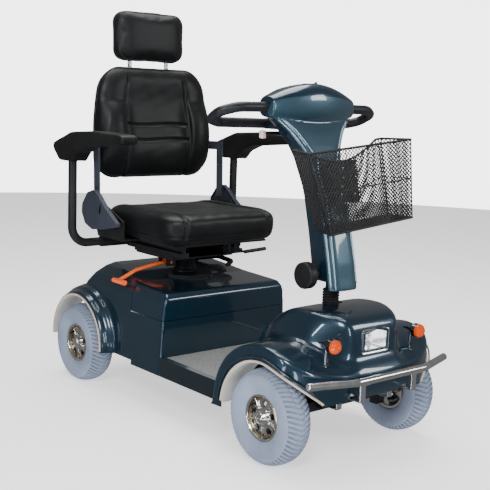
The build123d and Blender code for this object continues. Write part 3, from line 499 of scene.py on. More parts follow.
def stuffed(made, voxel, pressure, cap):
    """Cloth under inner pressure: the cover swells, pulls in at its corners and creases a little."""
    applied(made, ("REMESH", dict(mode="VOXEL", voxel_size=voxel * MM, use_smooth_shade=True)))
    rest = coordinates(made)
    cloth = made.modifiers.new("Cloth", "CLOTH")
    settings = dict(quality=5, mass=0.25, tension_stiffness=CLOTH_STIFFNESS,
                    compression_stiffness=CLOTH_STIFFNESS, shear_stiffness=CLOTH_STIFFNESS * 0.5,
                    bending_stiffness=0.4, use_pressure=True, uniform_pressure_force=pressure)
    for key, value in settings.items():
        setattr(cloth.settings, key, value)
    cloth.settings.effector_weights.gravity = 0.0
    cloth.collision_settings.use_collision = False
    for frame_number in range(1, 21):
        SCENE.frame_set(frame_number)
    graph = bpy.context.evaluated_depsgraph_get()
    moved = np.zeros(len(made.data.vertices) * 3)
    made.evaluated_get(graph).to_mesh().vertices.foreach_get("co", moved)
    shift = moved.reshape(-1, 3) / MM - rest
    length = np.maximum(np.linalg.norm(shift, axis=1, keepdims=True), 1e-9)
    made.modifiers.clear()
    SCENE.frame_set(1)
    set_coordinates(made, rest + shift * np.minimum(1, cap / length))
    applied(made, ("SMOOTH", dict(factor=0.5, iterations=7)))
    return applied(made, ("SUBSURF", dict(levels=1)))


def pressed(made, depth_at):
    """Pushes a pad's skin inwards along its normals by a depth in millimetres."""
    co = coordinates(made)
    normals = np.zeros(len(co) * 3)
    made.data.vertices.foreach_get("normal", normals)
    normals = normals.reshape(-1, 3)
    set_coordinates(made, co - normals * depth_at(co, normals)[:, None])


def groove(distance, depth, width):
    """The depth of a soft groove at a distance from its line."""
    return depth * np.exp(-(distance / width) ** 2)


SIGHT = 0.4


def surface_point(made, start, way, lift):
    """The skin's point seen from a start, lifted off it, as a list that is empty if the look misses."""
    hit, at, normal, _ = made.ray_cast(Vector(start) * MM, way, distance=SIGHT)
    return [at / MM + normal * lift] if hit else []


def rim_seam(name, made, middle, reach, count, radius, lift):
    """A welt round a pad's edge, found by looking in at its middle from all round."""
    line = []
    for k in range(count + 1):
        turn = 2 * math.pi * k / count
        start = Vector((reach[0] * math.cos(turn), middle[1], middle[2] + reach[1] * math.sin(turn)))
        line += surface_point(made, start, (Vector(middle) - start).normalized(), lift)
    return tube(name, line, radius, 8)


def seam(name, made, starts, way, radius, lift):
    """A thin welt that follows a pad's surface under a row of points, looking along one direction."""
    way = Vector(way).normalized()
    line = []
    for start in starts:
        line += surface_point(made, start, way, lift)
    smooth = line[:1] + [(a + b * 2 + c) / 4 for a, b, c in zip(line, line[1:], line[2:])] + line[-1:]
    return tube(name, smooth, radius, 8)


def steps(low, high, count):
    """Evenly spaced numbers, both ends included."""
    return [low + (high - low) * k / (count - 1) for k in range(count)]


BACK_TILT = math.radians(2)
RECLINE = Vector((0, 440, 590))


def tilted(made):
    """Leans a piece back about the recliner's axis, as the CAD backrest leans."""
    lean = Matrix.Rotation(-BACK_TILT, 4, "X")
    turn = Matrix.Translation(RECLINE * MM) @ lean @ Matrix.Translation(-RECLINE * MM)
    made.data.transform(turn)
    return made


# seat cushion
low, high = (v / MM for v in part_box("seat_cushion"))
SEAT_X, SEAT_Y = (high.x - low.x) / 2, (high.y - low.y) / 2
SEAT_MID_Y, SEAT_LOW, SEAT_HIGH = (low.y + high.y) / 2, low.z, high.z


def seat_top(u, v, e):
    bolster = 1 / (1 + math.exp(-(abs(u) - 158) / 13))
    front = math.exp(-((v + SEAT_Y) / 70) ** 2)
    dish = 13 * (1 - bolster) * (1 - 0.75 * front)
    crown = 5 * math.cos(u / SEAT_X * 1.4)
    middle = (SEAT_LOW + SEAT_HIGH) / 2 - 4
    return middle + (SEAT_HIGH - 7 - dish + crown - middle) * e ** 0.5


def seat_under(u, v, e):
    middle = (SEAT_LOW + SEAT_HIGH) / 2 - 4
    return middle - (middle - SEAT_LOW - 3) * min(1.0, e * 1.5) ** 0.7


seat = pillow("seat_cushion_cover", SEAT_X - 5, SEAT_Y - 5, 80, seat_under, seat_top,
              lambda u, v, h: (u, v + SEAT_MID_Y, h))
stuffed(seat, 6, 4.0, 3.5)


def bolster_x(y):
    """Where the seam between the seat's middle and its bolster runs."""
    return 152 + 10 * np.clip((SEAT_MID_Y - y) / SEAT_Y, 0, 1)


def seat_dents(co, normals):
    x, y, z = co[:, 0], co[:, 1], co[:, 2]
    on_top = np.clip(normals[:, 2] * 3, 0, 1)
    on_front = np.clip(-normals[:, 1] * 3, 0, 1)
    depth = groove(np.abs(x) - bolster_x(y), 6, 6) * on_top
    depth += groove(np.abs(x) - 170, 3.5, 4.5) * on_front
    wave = 0.7 * np.sin(y * 0.055 + 1.3 * np.sin(x * 0.03)) * np.sin(x * 0.041 + 0.6)
    wave += 0.3 * np.sin(x * 0.11 + y * 0.07)
    depth += wave * np.clip(1 - np.abs(x) / 210, 0, 1) * on_top
    rim = groove(z - (SEAT_LOW + 30), 2.2, 4) * np.clip(1 - np.abs(normals[:, 2]) * 1.5, 0, 1)
    return depth + rim


pressed(seat, seat_dents)
co = coordinates(seat)
co[:, 2] = np.clip(co[:, 2], SEAT_LOW + 0.4, SEAT_HIGH + 10)
co[:, 0] = np.clip(co[:, 0], -SEAT_X - 1.5, SEAT_X + 1.5)
set_coordinates(seat, co)
welts = []
for side in (-1, 1):
    row = [(side * bolster_x(y), y, 700) for y in steps(60, 462, 60)]
    welts.append(seam("seat_welt", seat, row, (0, 0, -1), 1.8, 0.2))
    row = [(side * 170, -60, z) for z in steps(SEAT_LOW + 6, SEAT_HIGH - 22, 22)]
    welts.append(seam("seat_front_seam", seat, row, (0, 1, 0), 1.5, 0.2))
placed(seat, "seat", "vinyl_black", replaces=["seat_cushion"])
placed(joined("seat_seams", *welts), "seat", "piping")

# backrest cushion, shaped upright and then leaned back
BACK_LOW, BACK_HIGH = 676.0, 1060.0
BACK_MID_Z, BACK_Z, BACK_X = (BACK_LOW + BACK_HIGH) / 2, (BACK_HIGH - BACK_LOW) / 2, 240.0
BACK_FRONT_Y, BACK_REAR_Y = 454.0, 531.5
BACK_SEAM_X, BACK_FOLDS = 126.0, (811.0, 862.0)


def back_front(u, v, e):
    bolster = 1 / (1 + math.exp(-(abs(u) - BACK_SEAM_X - 4) / 12))
    lumbar = 9 * math.exp(-((v + BACK_MID_Z - 770) / 60) ** 2) * (1 - bolster)
    hollow = 12 * (1 - bolster) * math.exp(-((v + BACK_MID_Z - 935) / 85) ** 2)
    z = v + BACK_MID_Z
    wing = 36 * bolster * max(0.0, 1 - abs((z - 822) / 120) ** 2.4)
    depth = 33 + wing + lumbar - hollow
    return (BACK_FRONT_Y + BACK_REAR_Y) / 2 + 3 - depth * e ** 0.85


def back_rear(u, v, e):
    return (BACK_FRONT_Y + BACK_REAR_Y) / 2 + 3 + 30 * min(1.0, e * 1.4) ** 0.8


back = pillow("backrest_cushion_cover", BACK_X - 7, BACK_Z - 7, 74, back_front, back_rear,
              lambda u, v, h: (u, h, v + BACK_MID_Z))
stuffed(back, 6, 4.0, 3.5)


def back_dents(co, normals):
    x, z = co[:, 0], co[:, 2]
    facing = np.clip(-normals[:, 1] * 3, 0, 1)
    depth = groove(np.abs(x) - BACK_SEAM_X, 8, 6) * np.clip((BACK_HIGH - 30 - z) / 30, 0, 1)
    inside = np.clip((BACK_SEAM_X - np.abs(x)) / 6, 0, 1)
    for fold in BACK_FOLDS:
        depth += groove(z - fold - 2 * np.sin(x * 0.03), 6, 5) * inside
    wave = 0.45 * np.sin(z * 0.06 + x * 0.035) * np.sin(x * 0.05) + 0.2 * np.sin(z * 0.14 - x * 0.06)
    return (depth + wave * np.clip(1 - np.abs(x) / 230, 0, 1)) * facing


pressed(back, back_dents)
co = coordinates(back)
co[:, 0] *= 1 - 0.15 * np.clip((co[:, 2] - 850) / 210, 0, 1) ** 1.6
set_coordinates(back, co)
welts = []
for side in (-1, 1):
    row = [(side * BACK_SEAM_X, 300, z) for z in steps(BACK_LOW + 10, BACK_HIGH - 14, 60)]
    welts.append(seam("back_welt", back, row, (0, 1, 0), 1.8, 0.2))
for fold in BACK_FOLDS:
    row = [(x, 300, fold + 2 * math.sin(x * 0.03)) for x in steps(-BACK_SEAM_X, BACK_SEAM_X, 40)]
    welts.append(seam("back_fold", back, row, (0, 1, 0), 1.2, 0.0))
welts.append(rim_seam("back_rim", back, (0, 494, BACK_MID_Z), (1.3 * BACK_X, 1.3 * BACK_Z), 120, 2.6, 0.6))
seams = tilted(joined("backrest_seams", *welts))
placed(tilted(back), "backrest", "vinyl_black", replaces=["backrest_cushion"])
placed(seams, "backrest", "piping")

# headrest
HEAD_LOW, HEAD_HIGH, HEAD_X = 1068.0, 1246.0, 142.0
HEAD_MID_Z, HEAD_Z = (HEAD_LOW + HEAD_HIGH) / 2, (HEAD_HIGH - HEAD_LOW) / 2
HEAD_MID_Y = 520.0


def head_front(u, v, e):
    return HEAD_MID_Y - (36 + 5 * math.cos(u / HEAD_X * 1.3) * math.cos(v / HEAD_Z * 1.2)) * e ** 0.8


head = pillow("headrest_cushion_cover", HEAD_X - 6, HEAD_Z - 6, 38, head_front,
              lambda u, v, e: HEAD_MID_Y + 34 * e ** 0.7, lambda u, v, h: (u, h, v + HEAD_MID_Z), 20, 96)
stuffed(head, 5, 4.0, 3)
welts = []
for depth in (-20, 20):
    middle = (0, HEAD_MID_Y + depth, HEAD_MID_Z)
    welts.append(rim_seam("head_welt", head, middle, (1.4 * HEAD_X, 1.4 * HEAD_Z), 96, 1.8, 0.3))
seams = tilted(joined("headrest_seams", *welts))
placed(tilted(head), "headrest", "vinyl_black", replaces=["headrest_cushion"])
placed(seams, "headrest", "piping")

# ---------------------------------------------------------------- wheels

TYRE_R, RIM_R = 130.0, 62.0
LUGS = 56
NUT_RING = 27.5


def tyre_piece(name, centre):
    """A pneumatic tyre: round shoulders, moulded rings on the wall and chevron lugs with channels."""
    around, across = LUGS * 8, 44
    wall = curved([(-26, RIM_R - 1), (-33, RIM_R + 4), (-39, RIM_R + 16), (-42, RIM_R + 32),
                   (-41.5, TYRE_R - 22), (-37.5, TYRE_R - 12)], 4)
    crown = [(37.5 * math.sin(t), TYRE_R - 12 * (abs(math.sin(t)) ** 2.6))
             for t in steps(-math.pi / 2, math.pi / 2, across)]
    profile = [tuple(p) for p in wall[:-1]] + crown + [(-p[0], p[1]) for p in wall[:-1]][::-1]
    flat = len(profile)
    points = []
    for k in range(around):
        turn = 2 * math.pi * k / around
        for a, r in profile:
            tread = abs(a) < 37.6 and r > TYRE_R - 13
            if tread:
                chevron = (turn * LUGS / (2 * math.pi) + abs(a) * 0.028) % 1.0
                cut = 1.0 if chevron < 0.37 else 0.0
                channel = math.exp(-((abs(a) - 11) / 1.8) ** 2)
                depth = 4.3 + 1.8 * min(1.0, max(0.0, (abs(a) - 22) / 8))
                r -= depth * max(cut * (0.35 if abs(a) < 4 else 1.0), channel)
            else:
                r += 0.8 * math.cos((r - RIM_R) * 0.9) if abs(a) > 36 else 0
            points.append((centre[0] + a, centre[1] + r * math.cos(turn), centre[2] + r * math.sin(turn)))
    made = mesh_object(name, points, grid_faces(around, flat, True, True))
    return creased(made, 30)


def rim_details(centre, side):
    """Bright lip, tan ring, spoke ribs, wheel nuts, cap and valve on one face of the rim."""
    x, y, z = centre
    axis = (side, 0, 0)
    lip = lathe("rim_lip", [(22, 55), (27, 56), (31, 59), (32, 62), (30, 64.5), (26, 65), (24, 61)],
                centre, axis, 96)
    dish = lathe("rim_dish", [(24.2, 20), (25.5, 22), (24.6, 27), (24.6, 29), (24.2, 30), (24.1, 26)],
                 centre, axis, 64)
    chrome = [lip, dish]
    for k in range(5):
        turn = math.radians(90 + 72 * k + 36)
        nut_at = (x, y + NUT_RING * math.cos(turn), z + NUT_RING * math.sin(turn))
        chrome.append(lathe("nut", [(23, 0), (23, 5.2), (28.5, 5.2), (29.5, 4), (29.5, 0)], nut_at, axis, 6))
        rib = [Vector((x + side * 24.5, y + r * math.cos(turn), z + r * math.sin(turn))) for r in (33, 43, 53)]
        chrome.append(tube("rib", rib, [3.2, 2.6, 3.4], 10, True, True))
    cap = lathe("cap", [(28, 0), (28, 15), (34, 15.5), (37, 13), (39, 8), (39.8, 0.01)], centre, axis, 48)
    chrome.append(cap)
    ring = lathe("ring", [(24.2, 48.5), (26.2, 49), (27, 51), (26.2, 54), (24.2, 55)], centre, axis, 96)
    stem = [(x + side * out, y + r * math.cos(0.6), z + r * math.sin(0.6)) for out, r in ((20, 50), (34, 46))]
    valve = tube("valve", stem, 3.0, 12, True, True)
    return chrome, ring, valve


def wheel_centre(node):
    a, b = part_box(node)
    return tuple((a + b) / 2 / MM)


for end in ("front", "rear"):
    for hand, side in (("right", -1), ("left", 1)):
        tag = f"{end}_{hand}"
        centre = wheel_centre("tyre_" + tag)
        tyre = tyre_piece("tyre_tread_" + tag, centre)
        placed(tyre, "wheel_" + tag, "tyre_grey", replaces=["tyre_" + tag])
        chrome, ring, valve = rim_details(centre, side)
        placed(joined("rim_trim_" + tag, *chrome), "wheel_" + tag, "hub_chrome")
        placed(ring, "wheel_" + tag, "rim_gold").name = "rim_ring_" + tag
        placed(valve, "wheel_" + tag, "black_plastic").name = "valve_" + tag

# ---------------------------------------------------------------- basket

BASKET_TOP = dict(front_y=-492.0, rear_y=-405.0, front_x=195.0, rear_x=170.0, z=846.0)
BASKET_LOW = dict(front_y=-530.0, rear_y=-455.0, front_x=156.0, rear_x=140.0, z=636.0)
WIRE, RIM_WIRE, MESH_PITCH = 1.3, 3.2, 7.8


def basket_point(side_u, v, panel):
    """A point of a basket panel: u from -1 to 1 across it, v from 0 at the floor to 1 at the rim."""
    def mix(key, share=v):
        return BASKET_LOW[key] + (BASKET_TOP[key] - BASKET_LOW[key]) * share

    if panel == "front":
        return Vector((side_u * mix("front_x"), mix("front_y"), mix("z")))
    if panel == "rear":
        w = v * (0.78 + 0.22 * min(1.0, abs(side_u) ** 1.8 * 1.3))
        return Vector((side_u * mix("rear_x", w), mix("rear_y", w), mix("z", w)))
    side = -1 if panel == "right" else 1
    t = (side_u + 1) / 2
    return Vector((side * (mix("front_x") + (mix("rear_x") - mix("front_x")) * t),
                   mix("front_y") + (mix("rear_y") - mix("front_y")) * t, mix("z")))


def panel_wires(panel, width, height):
    """Woven diamonds over one panel, as two families of slanting wires."""
    wires = []
    stride = MESH_PITCH * math.sqrt(2)
    for k in range(int((width + height) / stride) + 1):
        start = (k + 0.5) * stride - height
        for flip in (-1, 1):
            low, high = max(0.0, -start), min(height, width - start)
            if high - low < 2:
                continue
            line = []
            for t in steps(low, high, 2 + int((high - low) / 30)):
                line.append(basket_point(flip * (2 * (start + t) / width - 1), t / height, panel))
            wires.append(tube("wire", line, WIRE, 4, False))
    return wires


wires = panel_wires("front", 350, 212) + panel_wires("rear", 310, 205)
wires += panel_wires("right", 82, 211) + panel_wires("left", 82, 211)
for k in range(1, 36):
    t = -1 + 2 * k / 36
    wires.append(tube("wire", [basket_point(t, 0, "front"), basket_point(t, 0, "rear")], WIRE, 5, False))
for k in range(1, 9):
    t = k / 9
    left, right = basket_point(-1 + 2 * t, 0, "left"), basket_point(-1 + 2 * t, 0, "right")
    wires.append(tube("wire", [right, left], WIRE, 5, False))


def hung(made):
    """The basket hangs a little askew on its bracket."""
    middle = Vector((0, -460, 740)) * MM
    made.data.transform(Matrix.Translation(middle) @ Matrix.Rotation(math.radians(-5.5), 4, "Y")
                        @ Matrix.Translation(-middle))
    return made


placed(hung(joined("basket_mesh_wires", *wires)), "basket", "basket_mesh", replaces=["basket"])


def level_bar(panel, v, count, gauge, sides=10):
    """A bar across a basket panel at one height."""
    return tube("bar", [basket_point(u, v, panel) for u in steps(-1, 1, count)], gauge, sides, True, True)


def upright_bar(panel, u, count, gauge):
    """A bar from the basket's floor up to its rim."""
    return tube("bar", [basket_point(u, v, panel) for v in steps(0, 1, count)], gauge, 10, True, True)


bars = []
for v in (1, 0):
    for panel, count in (("front", 21), ("rear", 41), ("right", 9), ("left", 9)):
        bars.append(level_bar(panel, v, count, RIM_WIRE, 12))
for panel in ("front", "rear"):
    bars += [upright_bar(panel, u, 12, 1.9) for u in (-1, 1)]
for panel in ("front", "rear", "right", "left"):
    bars.append(level_bar(panel, 0.5, 21, 1.5))
for u in (-0.33, 0.33):
    bars += [upright_bar(panel, u, 8, 1.4) for panel in ("front", "rear")]
placed(hung(joined("basket_rim_and_bars", *bars)), "basket", "basket_mesh")
plate_low, plate_high = (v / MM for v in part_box("basket_bracket"))
rivets = []
for x in (-26, 26):
    for z in steps(plate_low.z + 22, plate_high.z - 22, 4):
        rivets.append(lathe("rivet", [(-1, 0), (-1, 3.8), (0.6, 3.8), (1.8, 2.6), (2.4, 0.01)],
                            (x, plate_low.y - 0.2, z), (0, -1, 0), 16))
placed(joined("bracket_rivets", *rivets), BODY_OF["basket_bracket"], "steel")

# ---------------------------------------------------------------- body panels


SIDES = (("left", 1), ("right", -1))


def smooth_step(t):
    """0 below 0, 1 above 1 and an even ease between."""
    t = min(1.0, max(0.0, t))
    return t * t * (3 - 2 * t)


def polar_reach(outline, centre):
    """The distance from a centre to a line around it, at any angle."""
    fine = curved([(u, v, 0) for u, v in outline], 12)
    angles = [math.atan2(q[1] - centre[1], q[0] - centre[0]) for q in fine]
    reaches = [math.hypot(q[0] - centre[0], q[1] - centre[1]) for q in fine]
    return lambda angle: float(np.interp(angle, angles, reaches))


def block(name, low, high):
    """A plain box as a cutter or as stock for a moulding."""
    outline = [(low[0], low[1]), (high[0], low[1]), (high[0], high[1]), (low[0], high[1])]
    return plate(name, outline, "xy", low[2], high[2])


def united(name, voxel, rounds, *pieces):
    """One moulding out of overlapping solids, its corners eased."""
    return remeshed(joined(name, *pieces), voxel, rounds)


def sliced(made, *planes):
    """Adds clean edges where planes (point, normal) cross a mesh."""
    def cut(work):
        for point, normal in planes:
            bmesh.ops.bisect_plane(work, geom=work.verts[:] + work.edges[:] + work.faces[:], dist=1e-6,
                                   plane_co=Vector(point) * MM, plane_no=Vector(normal))

    return edited(made, cut)


def thickened(made, wall):
    """Gives a skin a wall on its inner side."""
    outward(made)
    applied(made, ("SOLIDIFY", dict(thickness=wall * MM, offset=-1.0, use_rim=True)))
    return smoothed(made, 55)


def copy_of(made, name):
    """The same mesh as a second object."""
    twin = bpy.data.objects.new(name, made.data.copy())
    SCENE.collection.objects.link(twin)
    return twin


# front body: one moulding over both wheels and the steering head
FRONT_ARCH = (-432.0, 125.0)
COLUMN_Y = -394
RAIL_X, RAIL_Z = 92, 163
ARCH_LIP = 157.6
FRONT_HALF = 286.5
LOW_LINE = [(-222, 116), (-233, 186), (-256, 240), (-298, 287), (-356, 318), (-440, 333), (-508, 316),
            (-552, 287), (-580, 268), (-600, 252), (-602, 234), (-598, 208), (-588, 186)]
HUMP_LINE = [(-222, 116), (-230, 206), (-244, 282), (-290, 346), (-362, 396), (-450, 408), (-524, 401),
             (-556, 388), (-566, 366), (-569, 330), (-570, 296), (-590, 270), (-602, 244), (-598, 208),
             (-588, 186)]
low_reach, hump_reach = polar_reach(LOW_LINE, FRONT_ARCH), polar_reach(HUMP_LINE, FRONT_ARCH)


def front_profile(angle, count):
    """Half of the front body's line across the scooter at one angle about the wheel arch: (x, radius)."""
    low, hump = low_reach(angle), hump_reach(angle)
    forward = smooth_step((-math.cos(angle) - 0.1) / 0.55)
    half = 156 - 54 * forward
    xs = FRONT_HALF * np.sin(np.linspace(0, math.pi / 2, 400))
    share = np.array([smooth_step((half + 24 - x) / 56) for x in xs])
    crown = 6 * (xs / FRONT_HALF) ** 2
    r = np.maximum(low - crown, ARCH_LIP + 1) + max(hump - low, 0) * share
    if math.cos(angle) < -0.01:
        bow = -470 - 131 * (1 - (xs / (FRONT_HALF + 0.01)) ** 2.3) ** (1 / 2.3)
        r = np.minimum(r, (bow - FRONT_ARCH[0]) / math.cos(angle))
    last = int(np.argmax(r < ARCH_LIP)) if (r < ARCH_LIP).any() else len(xs)
    xs, r = xs[:max(last, 2)], r[:max(last, 2)]
    wall = np.linspace(r[-1], ARCH_LIP, 40)
    xs, r = np.append(xs, np.full(40, xs[-1])), np.append(r, wall)
    length = np.append(0, np.cumsum(np.hypot(np.diff(xs), np.diff(r))))
    at = np.linspace(0, length[-1], count)
    return np.interp(at, length, xs), np.interp(at, length, r)


ARCH_Y, ARCH_Z = FRONT_ARCH
front_rows, front_count = 130, 78
sweep = steps(math.radians(-2.2), math.radians(158.0), front_rows)
lattice = np.zeros((front_rows, 2 * front_count - 1, 3))
for i, angle in enumerate(sweep):
    xs, rs = front_profile(angle, front_count)
    xs, rs = np.append(-xs[:0:-1], xs), np.append(rs[:0:-1], rs)
    lattice[i] = np.stack([xs, ARCH_Y + rs * math.cos(angle), ARCH_Z + rs * math.sin(angle)], axis=1)
for _ in range(10):
    lattice[1:-1, 1:-1] = (lattice[1:-1, 1:-1] * 2 + lattice[:-2, 1:-1] + lattice[2:, 1:-1]
                           + lattice[1:-1, :-2] + lattice[1:-1, 2:]) / 6
front_lip = lattice[:, -1].copy()
front_faces = grid_faces(front_rows, 2 * front_count - 1)
front_body = mesh_object("front_body_panel", lattice.reshape(-1, 3), front_faces)
kept_faces(front_body, lambda at, normal: math.hypot(at.x, at.y - COLUMN_Y) > 34 or at.z < 300)
thickened(front_body, 3.2)
for side in (-1, 1):
    carved(front_body, block("bracket_notch", (side * 100 - 14, -640, 90), (side * 100 + 14, -520, 202)))
carved(front_body, block("rail_notch", (-RAIL_X, -264, 90), (RAIL_X, -200, RAIL_Z)))
carved(front_body, bevelled(block("lamp_notch", (-53, -640, 299), (53, -500, 365)), 10, 4))
placed(creased(front_body, 50), "chassis", "body_paint", replaces=("front_shroud",))
for hand, side in SIDES:
    line = [(side * (x + 1.5), y, z) for x, y, z in front_lip[6:-2]]
    placed(tube("fender_lip_" + hand, line, 3.4, 10), "chassis", "lip_beige")
    rib = [(side * (x + 2.0), y + (y - ARCH_Y) * 0.075, z + (z - ARCH_Z) * 0.075)
           for x, y, z in front_lip[6:-8]]
    placed(tube("fender_rib_" + hand, rib, 2.6, 10), "chassis", "body_paint")
ring = filleted([(0, -571, 368), (56, -569, 368), (56, -569, 297), (-56, -569, 297), (-56, -569, 368),
                 (0, -571, 368)], 12)
placed(tube("headlight_surround", ring, 4.2, 12, capped=False), "chassis", "body_paint")

# rear body over the drive: a deck shell and the battery cover, parted by a thin seam
REAR_ARCH = (500.0, 142.0)
REAR_LIP = 151.2
DECK_Z, COVER_Y, POST_Y = 285.0, 240.0, 298.0
# the moulding's open lower edge: its height at the sill, the sides, the tail and the bumper
SILL_Z, SIDE_Z, TAIL_Z, BUMPER_Z = 115, 129, 205, 300
SIDE_Y, TAIL_Y, BUMPER_Y = 225, 560, 585
PARTING_GAP = 1.6
rear_form = plate("rear_side", [(66, 90), (66, 350), (80, 366), (240, 375), (420, 400), (464, 403),
                                (490, 372), (545, 300), (594, 249), (614, 206), (614, 90)], "yz", -300, 300)
half_across = [(256, 90), (247, 285), (241, 338), (227, 366), (197, 392), (160, 405)]
rear_across = plate("rear_across", half_across + [(-x, z) for x, z in half_across[::-1]], "xz", 0, 700)
carved(rear_form, rear_across, "INTERSECT")
flares = [lathe("flare", [(226, 144), (293, 144), (294, 157), (284, 163), (272, 165), (262, 175), (226, 184)],
                (0, *REAR_ARCH), (side, 0, 0), 160) for side in (-1, 1)]
rear_form = united("rear_form", 3.6, 9, rear_form, *flares)
for side in (-1, 1):
    carved(rear_form, lathe("arch_bore", [(190, 0), (190, REAR_LIP), (330, REAR_LIP), (330, 0)],
                            (0, *REAR_ARCH), (side, 0, 0), 180))
cuts = [((0, 0, z), (0, 0, 1)) for z in (SILL_Z, SIDE_Z, TAIL_Z, BUMPER_Z)]
cuts += [((0, y, 0), (0, 1, 0)) for y in (SIDE_Y, TAIL_Y, BUMPER_Y)]
cuts += [((0, 0, z), (0, 0, 1)) for z in (DECK_Z, DECK_Z - PARTING_GAP)]
cuts += [((0, y, 0), (0, 1, 0)) for y in (COVER_Y, COVER_Y + PARTING_GAP)]
cuts += [((-RAIL_X, 0, 0), (1, 0, 0)), ((RAIL_X, 0, 0), (1, 0, 0)), ((0, 0, RAIL_Z), (0, 0, 1))]
sliced(rear_form, *cuts)


def rear_skin(at, normal):
    """The faces of the rear moulding that stay: no underside, no arch bore, no post hole."""
    r = math.hypot(at.y - REAR_ARCH[0], at.z - REAR_ARCH[1])
    if at.z < SILL_Z or (at.y > SIDE_Y and at.z < SIDE_Z) or (at.y > TAIL_Y and at.z < TAIL_Z):
        return False
    if abs(r - REAR_LIP) < 0.6 and abs(at.x) > 189 or (abs(abs(at.x) - 190) < 0.5 and r < REAR_LIP):
        return False
    if at.y > BUMPER_Y and at.z < BUMPER_Z and (r > 172 or abs(at.x) < 226):
        return False
    if abs(at.x) < RAIL_X and at.y < 80 and at.z < RAIL_Z:
        return False
    return not (math.hypot(at.x, at.y - POST_Y) < 46 and at.z > 330)


kept_faces(rear_form, rear_skin)
cover_form = copy_of(rear_form, "battery_cover_panel")
kept_faces(cover_form, lambda at, normal: at.z > DECK_Z and at.y < COVER_Y)
kept_faces(rear_form, lambda at, normal: at.z < DECK_Z - PARTING_GAP or at.y > COVER_Y + PARTING_GAP)
rear_form.name = "rear_body_panel"
placed(thickened(rear_form, 3.2), "chassis", "body_paint", replaces=("rear_body_shell",))
placed(thickened(cover_form, 3.2), "battery_cover", "body_paint", replaces=("battery_cover",))

# tiller: one form, parted into a front and a rear cover along a seam line
TILLER_LINE = [(446, -410, 100, 90), (449, -410, 106, 95), (480, -403, 109, 95), (520, -396, 109, 94),
               (600, -378, 108, 90), (700, -352, 110, 86), (760, -332, 117, 85), (800, -314, 130, 84),
               (838, -299, 158, 84), (868, -287, 200, 82), (892, -278, 246, 76), (912, -272, 286, 66)]
SEAM_Z = [446, 520, 600, 700, 800, 880, 926, 950, 970, 984, 1060]
SEAM_Y = [-436, -422, -403, -376, -338, -300, -272, -286, -314, -346, -520]
SEAM_GAP = 0.4
PANEL_Y, PANEL_Z = -240, 985
PANEL_COS, PANEL_SIN = 0.894, 0.447


def squircle(half_u, half_v, power, spokes):
    """Points of a rounded rectangle about the origin."""
    points = []
    for k in range(spokes):
        turn = 2 * math.pi * k / spokes
        c, s = math.cos(turn), math.sin(turn)
        u = half_u * math.copysign(abs(c) ** (2 / power), c)
        points.append((u, half_v * math.copysign(abs(s) ** (2 / power), s)))
    return points


def lofted(name, sections, place, power=4.0, spokes=64):
    """A closed solid through rounded sections, each (station, offset, width, depth)."""
    points = []
    for station, offset, width, depth in sections:
        points += [place(station, offset, u, v) for u, v in squircle(width / 2, depth / 2, power, spokes)]
    faces = grid_faces(len(sections), spokes, False, True)
    faces += [tuple(range(spokes)), tuple(range(len(points) - spokes, len(points)))]
    return mesh_object(name, points, faces)


post_form = lofted("tiller_post", TILLER_LINE, lambda z, y, u, v: (u, y + v, z))
head_line = []
for t in steps(-1, 1, 25):
    full = 1 - t * t
    head_line.append((156 * t, 940 + 10 * full, 56 + 62 * full ** 1.15, 62 + 50 * full))
head_form = lofted("tiller_head", head_line, lambda x, z, u, v: (x, -268 + v, z + u), 2.8)
tiller_form = united("tiller_form", 3.0, 12, post_form, head_form)
PANEL_TURN = Matrix.Translation((0, PANEL_Y * MM, PANEL_Z * MM)) @ Matrix.Rotation(-math.atan(0.5), 4, "X")
panel_top = block("panel_top", (-400, -700, 0), (400, 700, 200))
panel_top.data.transform(PANEL_TURN)
carved(tiller_form, panel_top)
window = block("panel_window", (-75.5, -33.5, -60), (75.5, 33.5, 60))
window.data.transform(PANEL_TURN)
carved(tiller_form, bevelled(window, 9, 4))
cover_front = copy_of(tiller_form, "tiller_front_moulding")
tiller_form.name = "tiller_rear_moulding"
for made, gap, far_y in ((cover_front, -SEAM_GAP, -800), (tiller_form, SEAM_GAP, 200)):
    outline = [(y + gap, z) for y, z in zip(SEAM_Y, SEAM_Z)]
    outline += [(far_y, 1060), (far_y, 430), (SEAM_Y[0] + gap, 430)]
    carved(made, plate("tiller_half", outline, "yz", -300, 300), "INTERSECT")


def tiller_skin(at, normal):
    """The faces on the tiller's outside: no foot, no parting faces, no window walls."""
    on_seam = abs(at.y - float(np.interp(at.z, SEAM_Z, SEAM_Y))) < 0.9 and abs(normal.x) < 0.02
    depth = (at.z - PANEL_Z) * PANEL_COS + (at.y - PANEL_Y) * PANEL_SIN
    along = (at.y - PANEL_Y) * PANEL_COS - (at.z - PANEL_Z) * PANEL_SIN
    in_window = abs(at.x) < 76.2 and abs(along) < 34.2 and -61 < depth < -0.5
    return not (on_seam or in_window or (at.z < 450 and normal.z < -0.7))


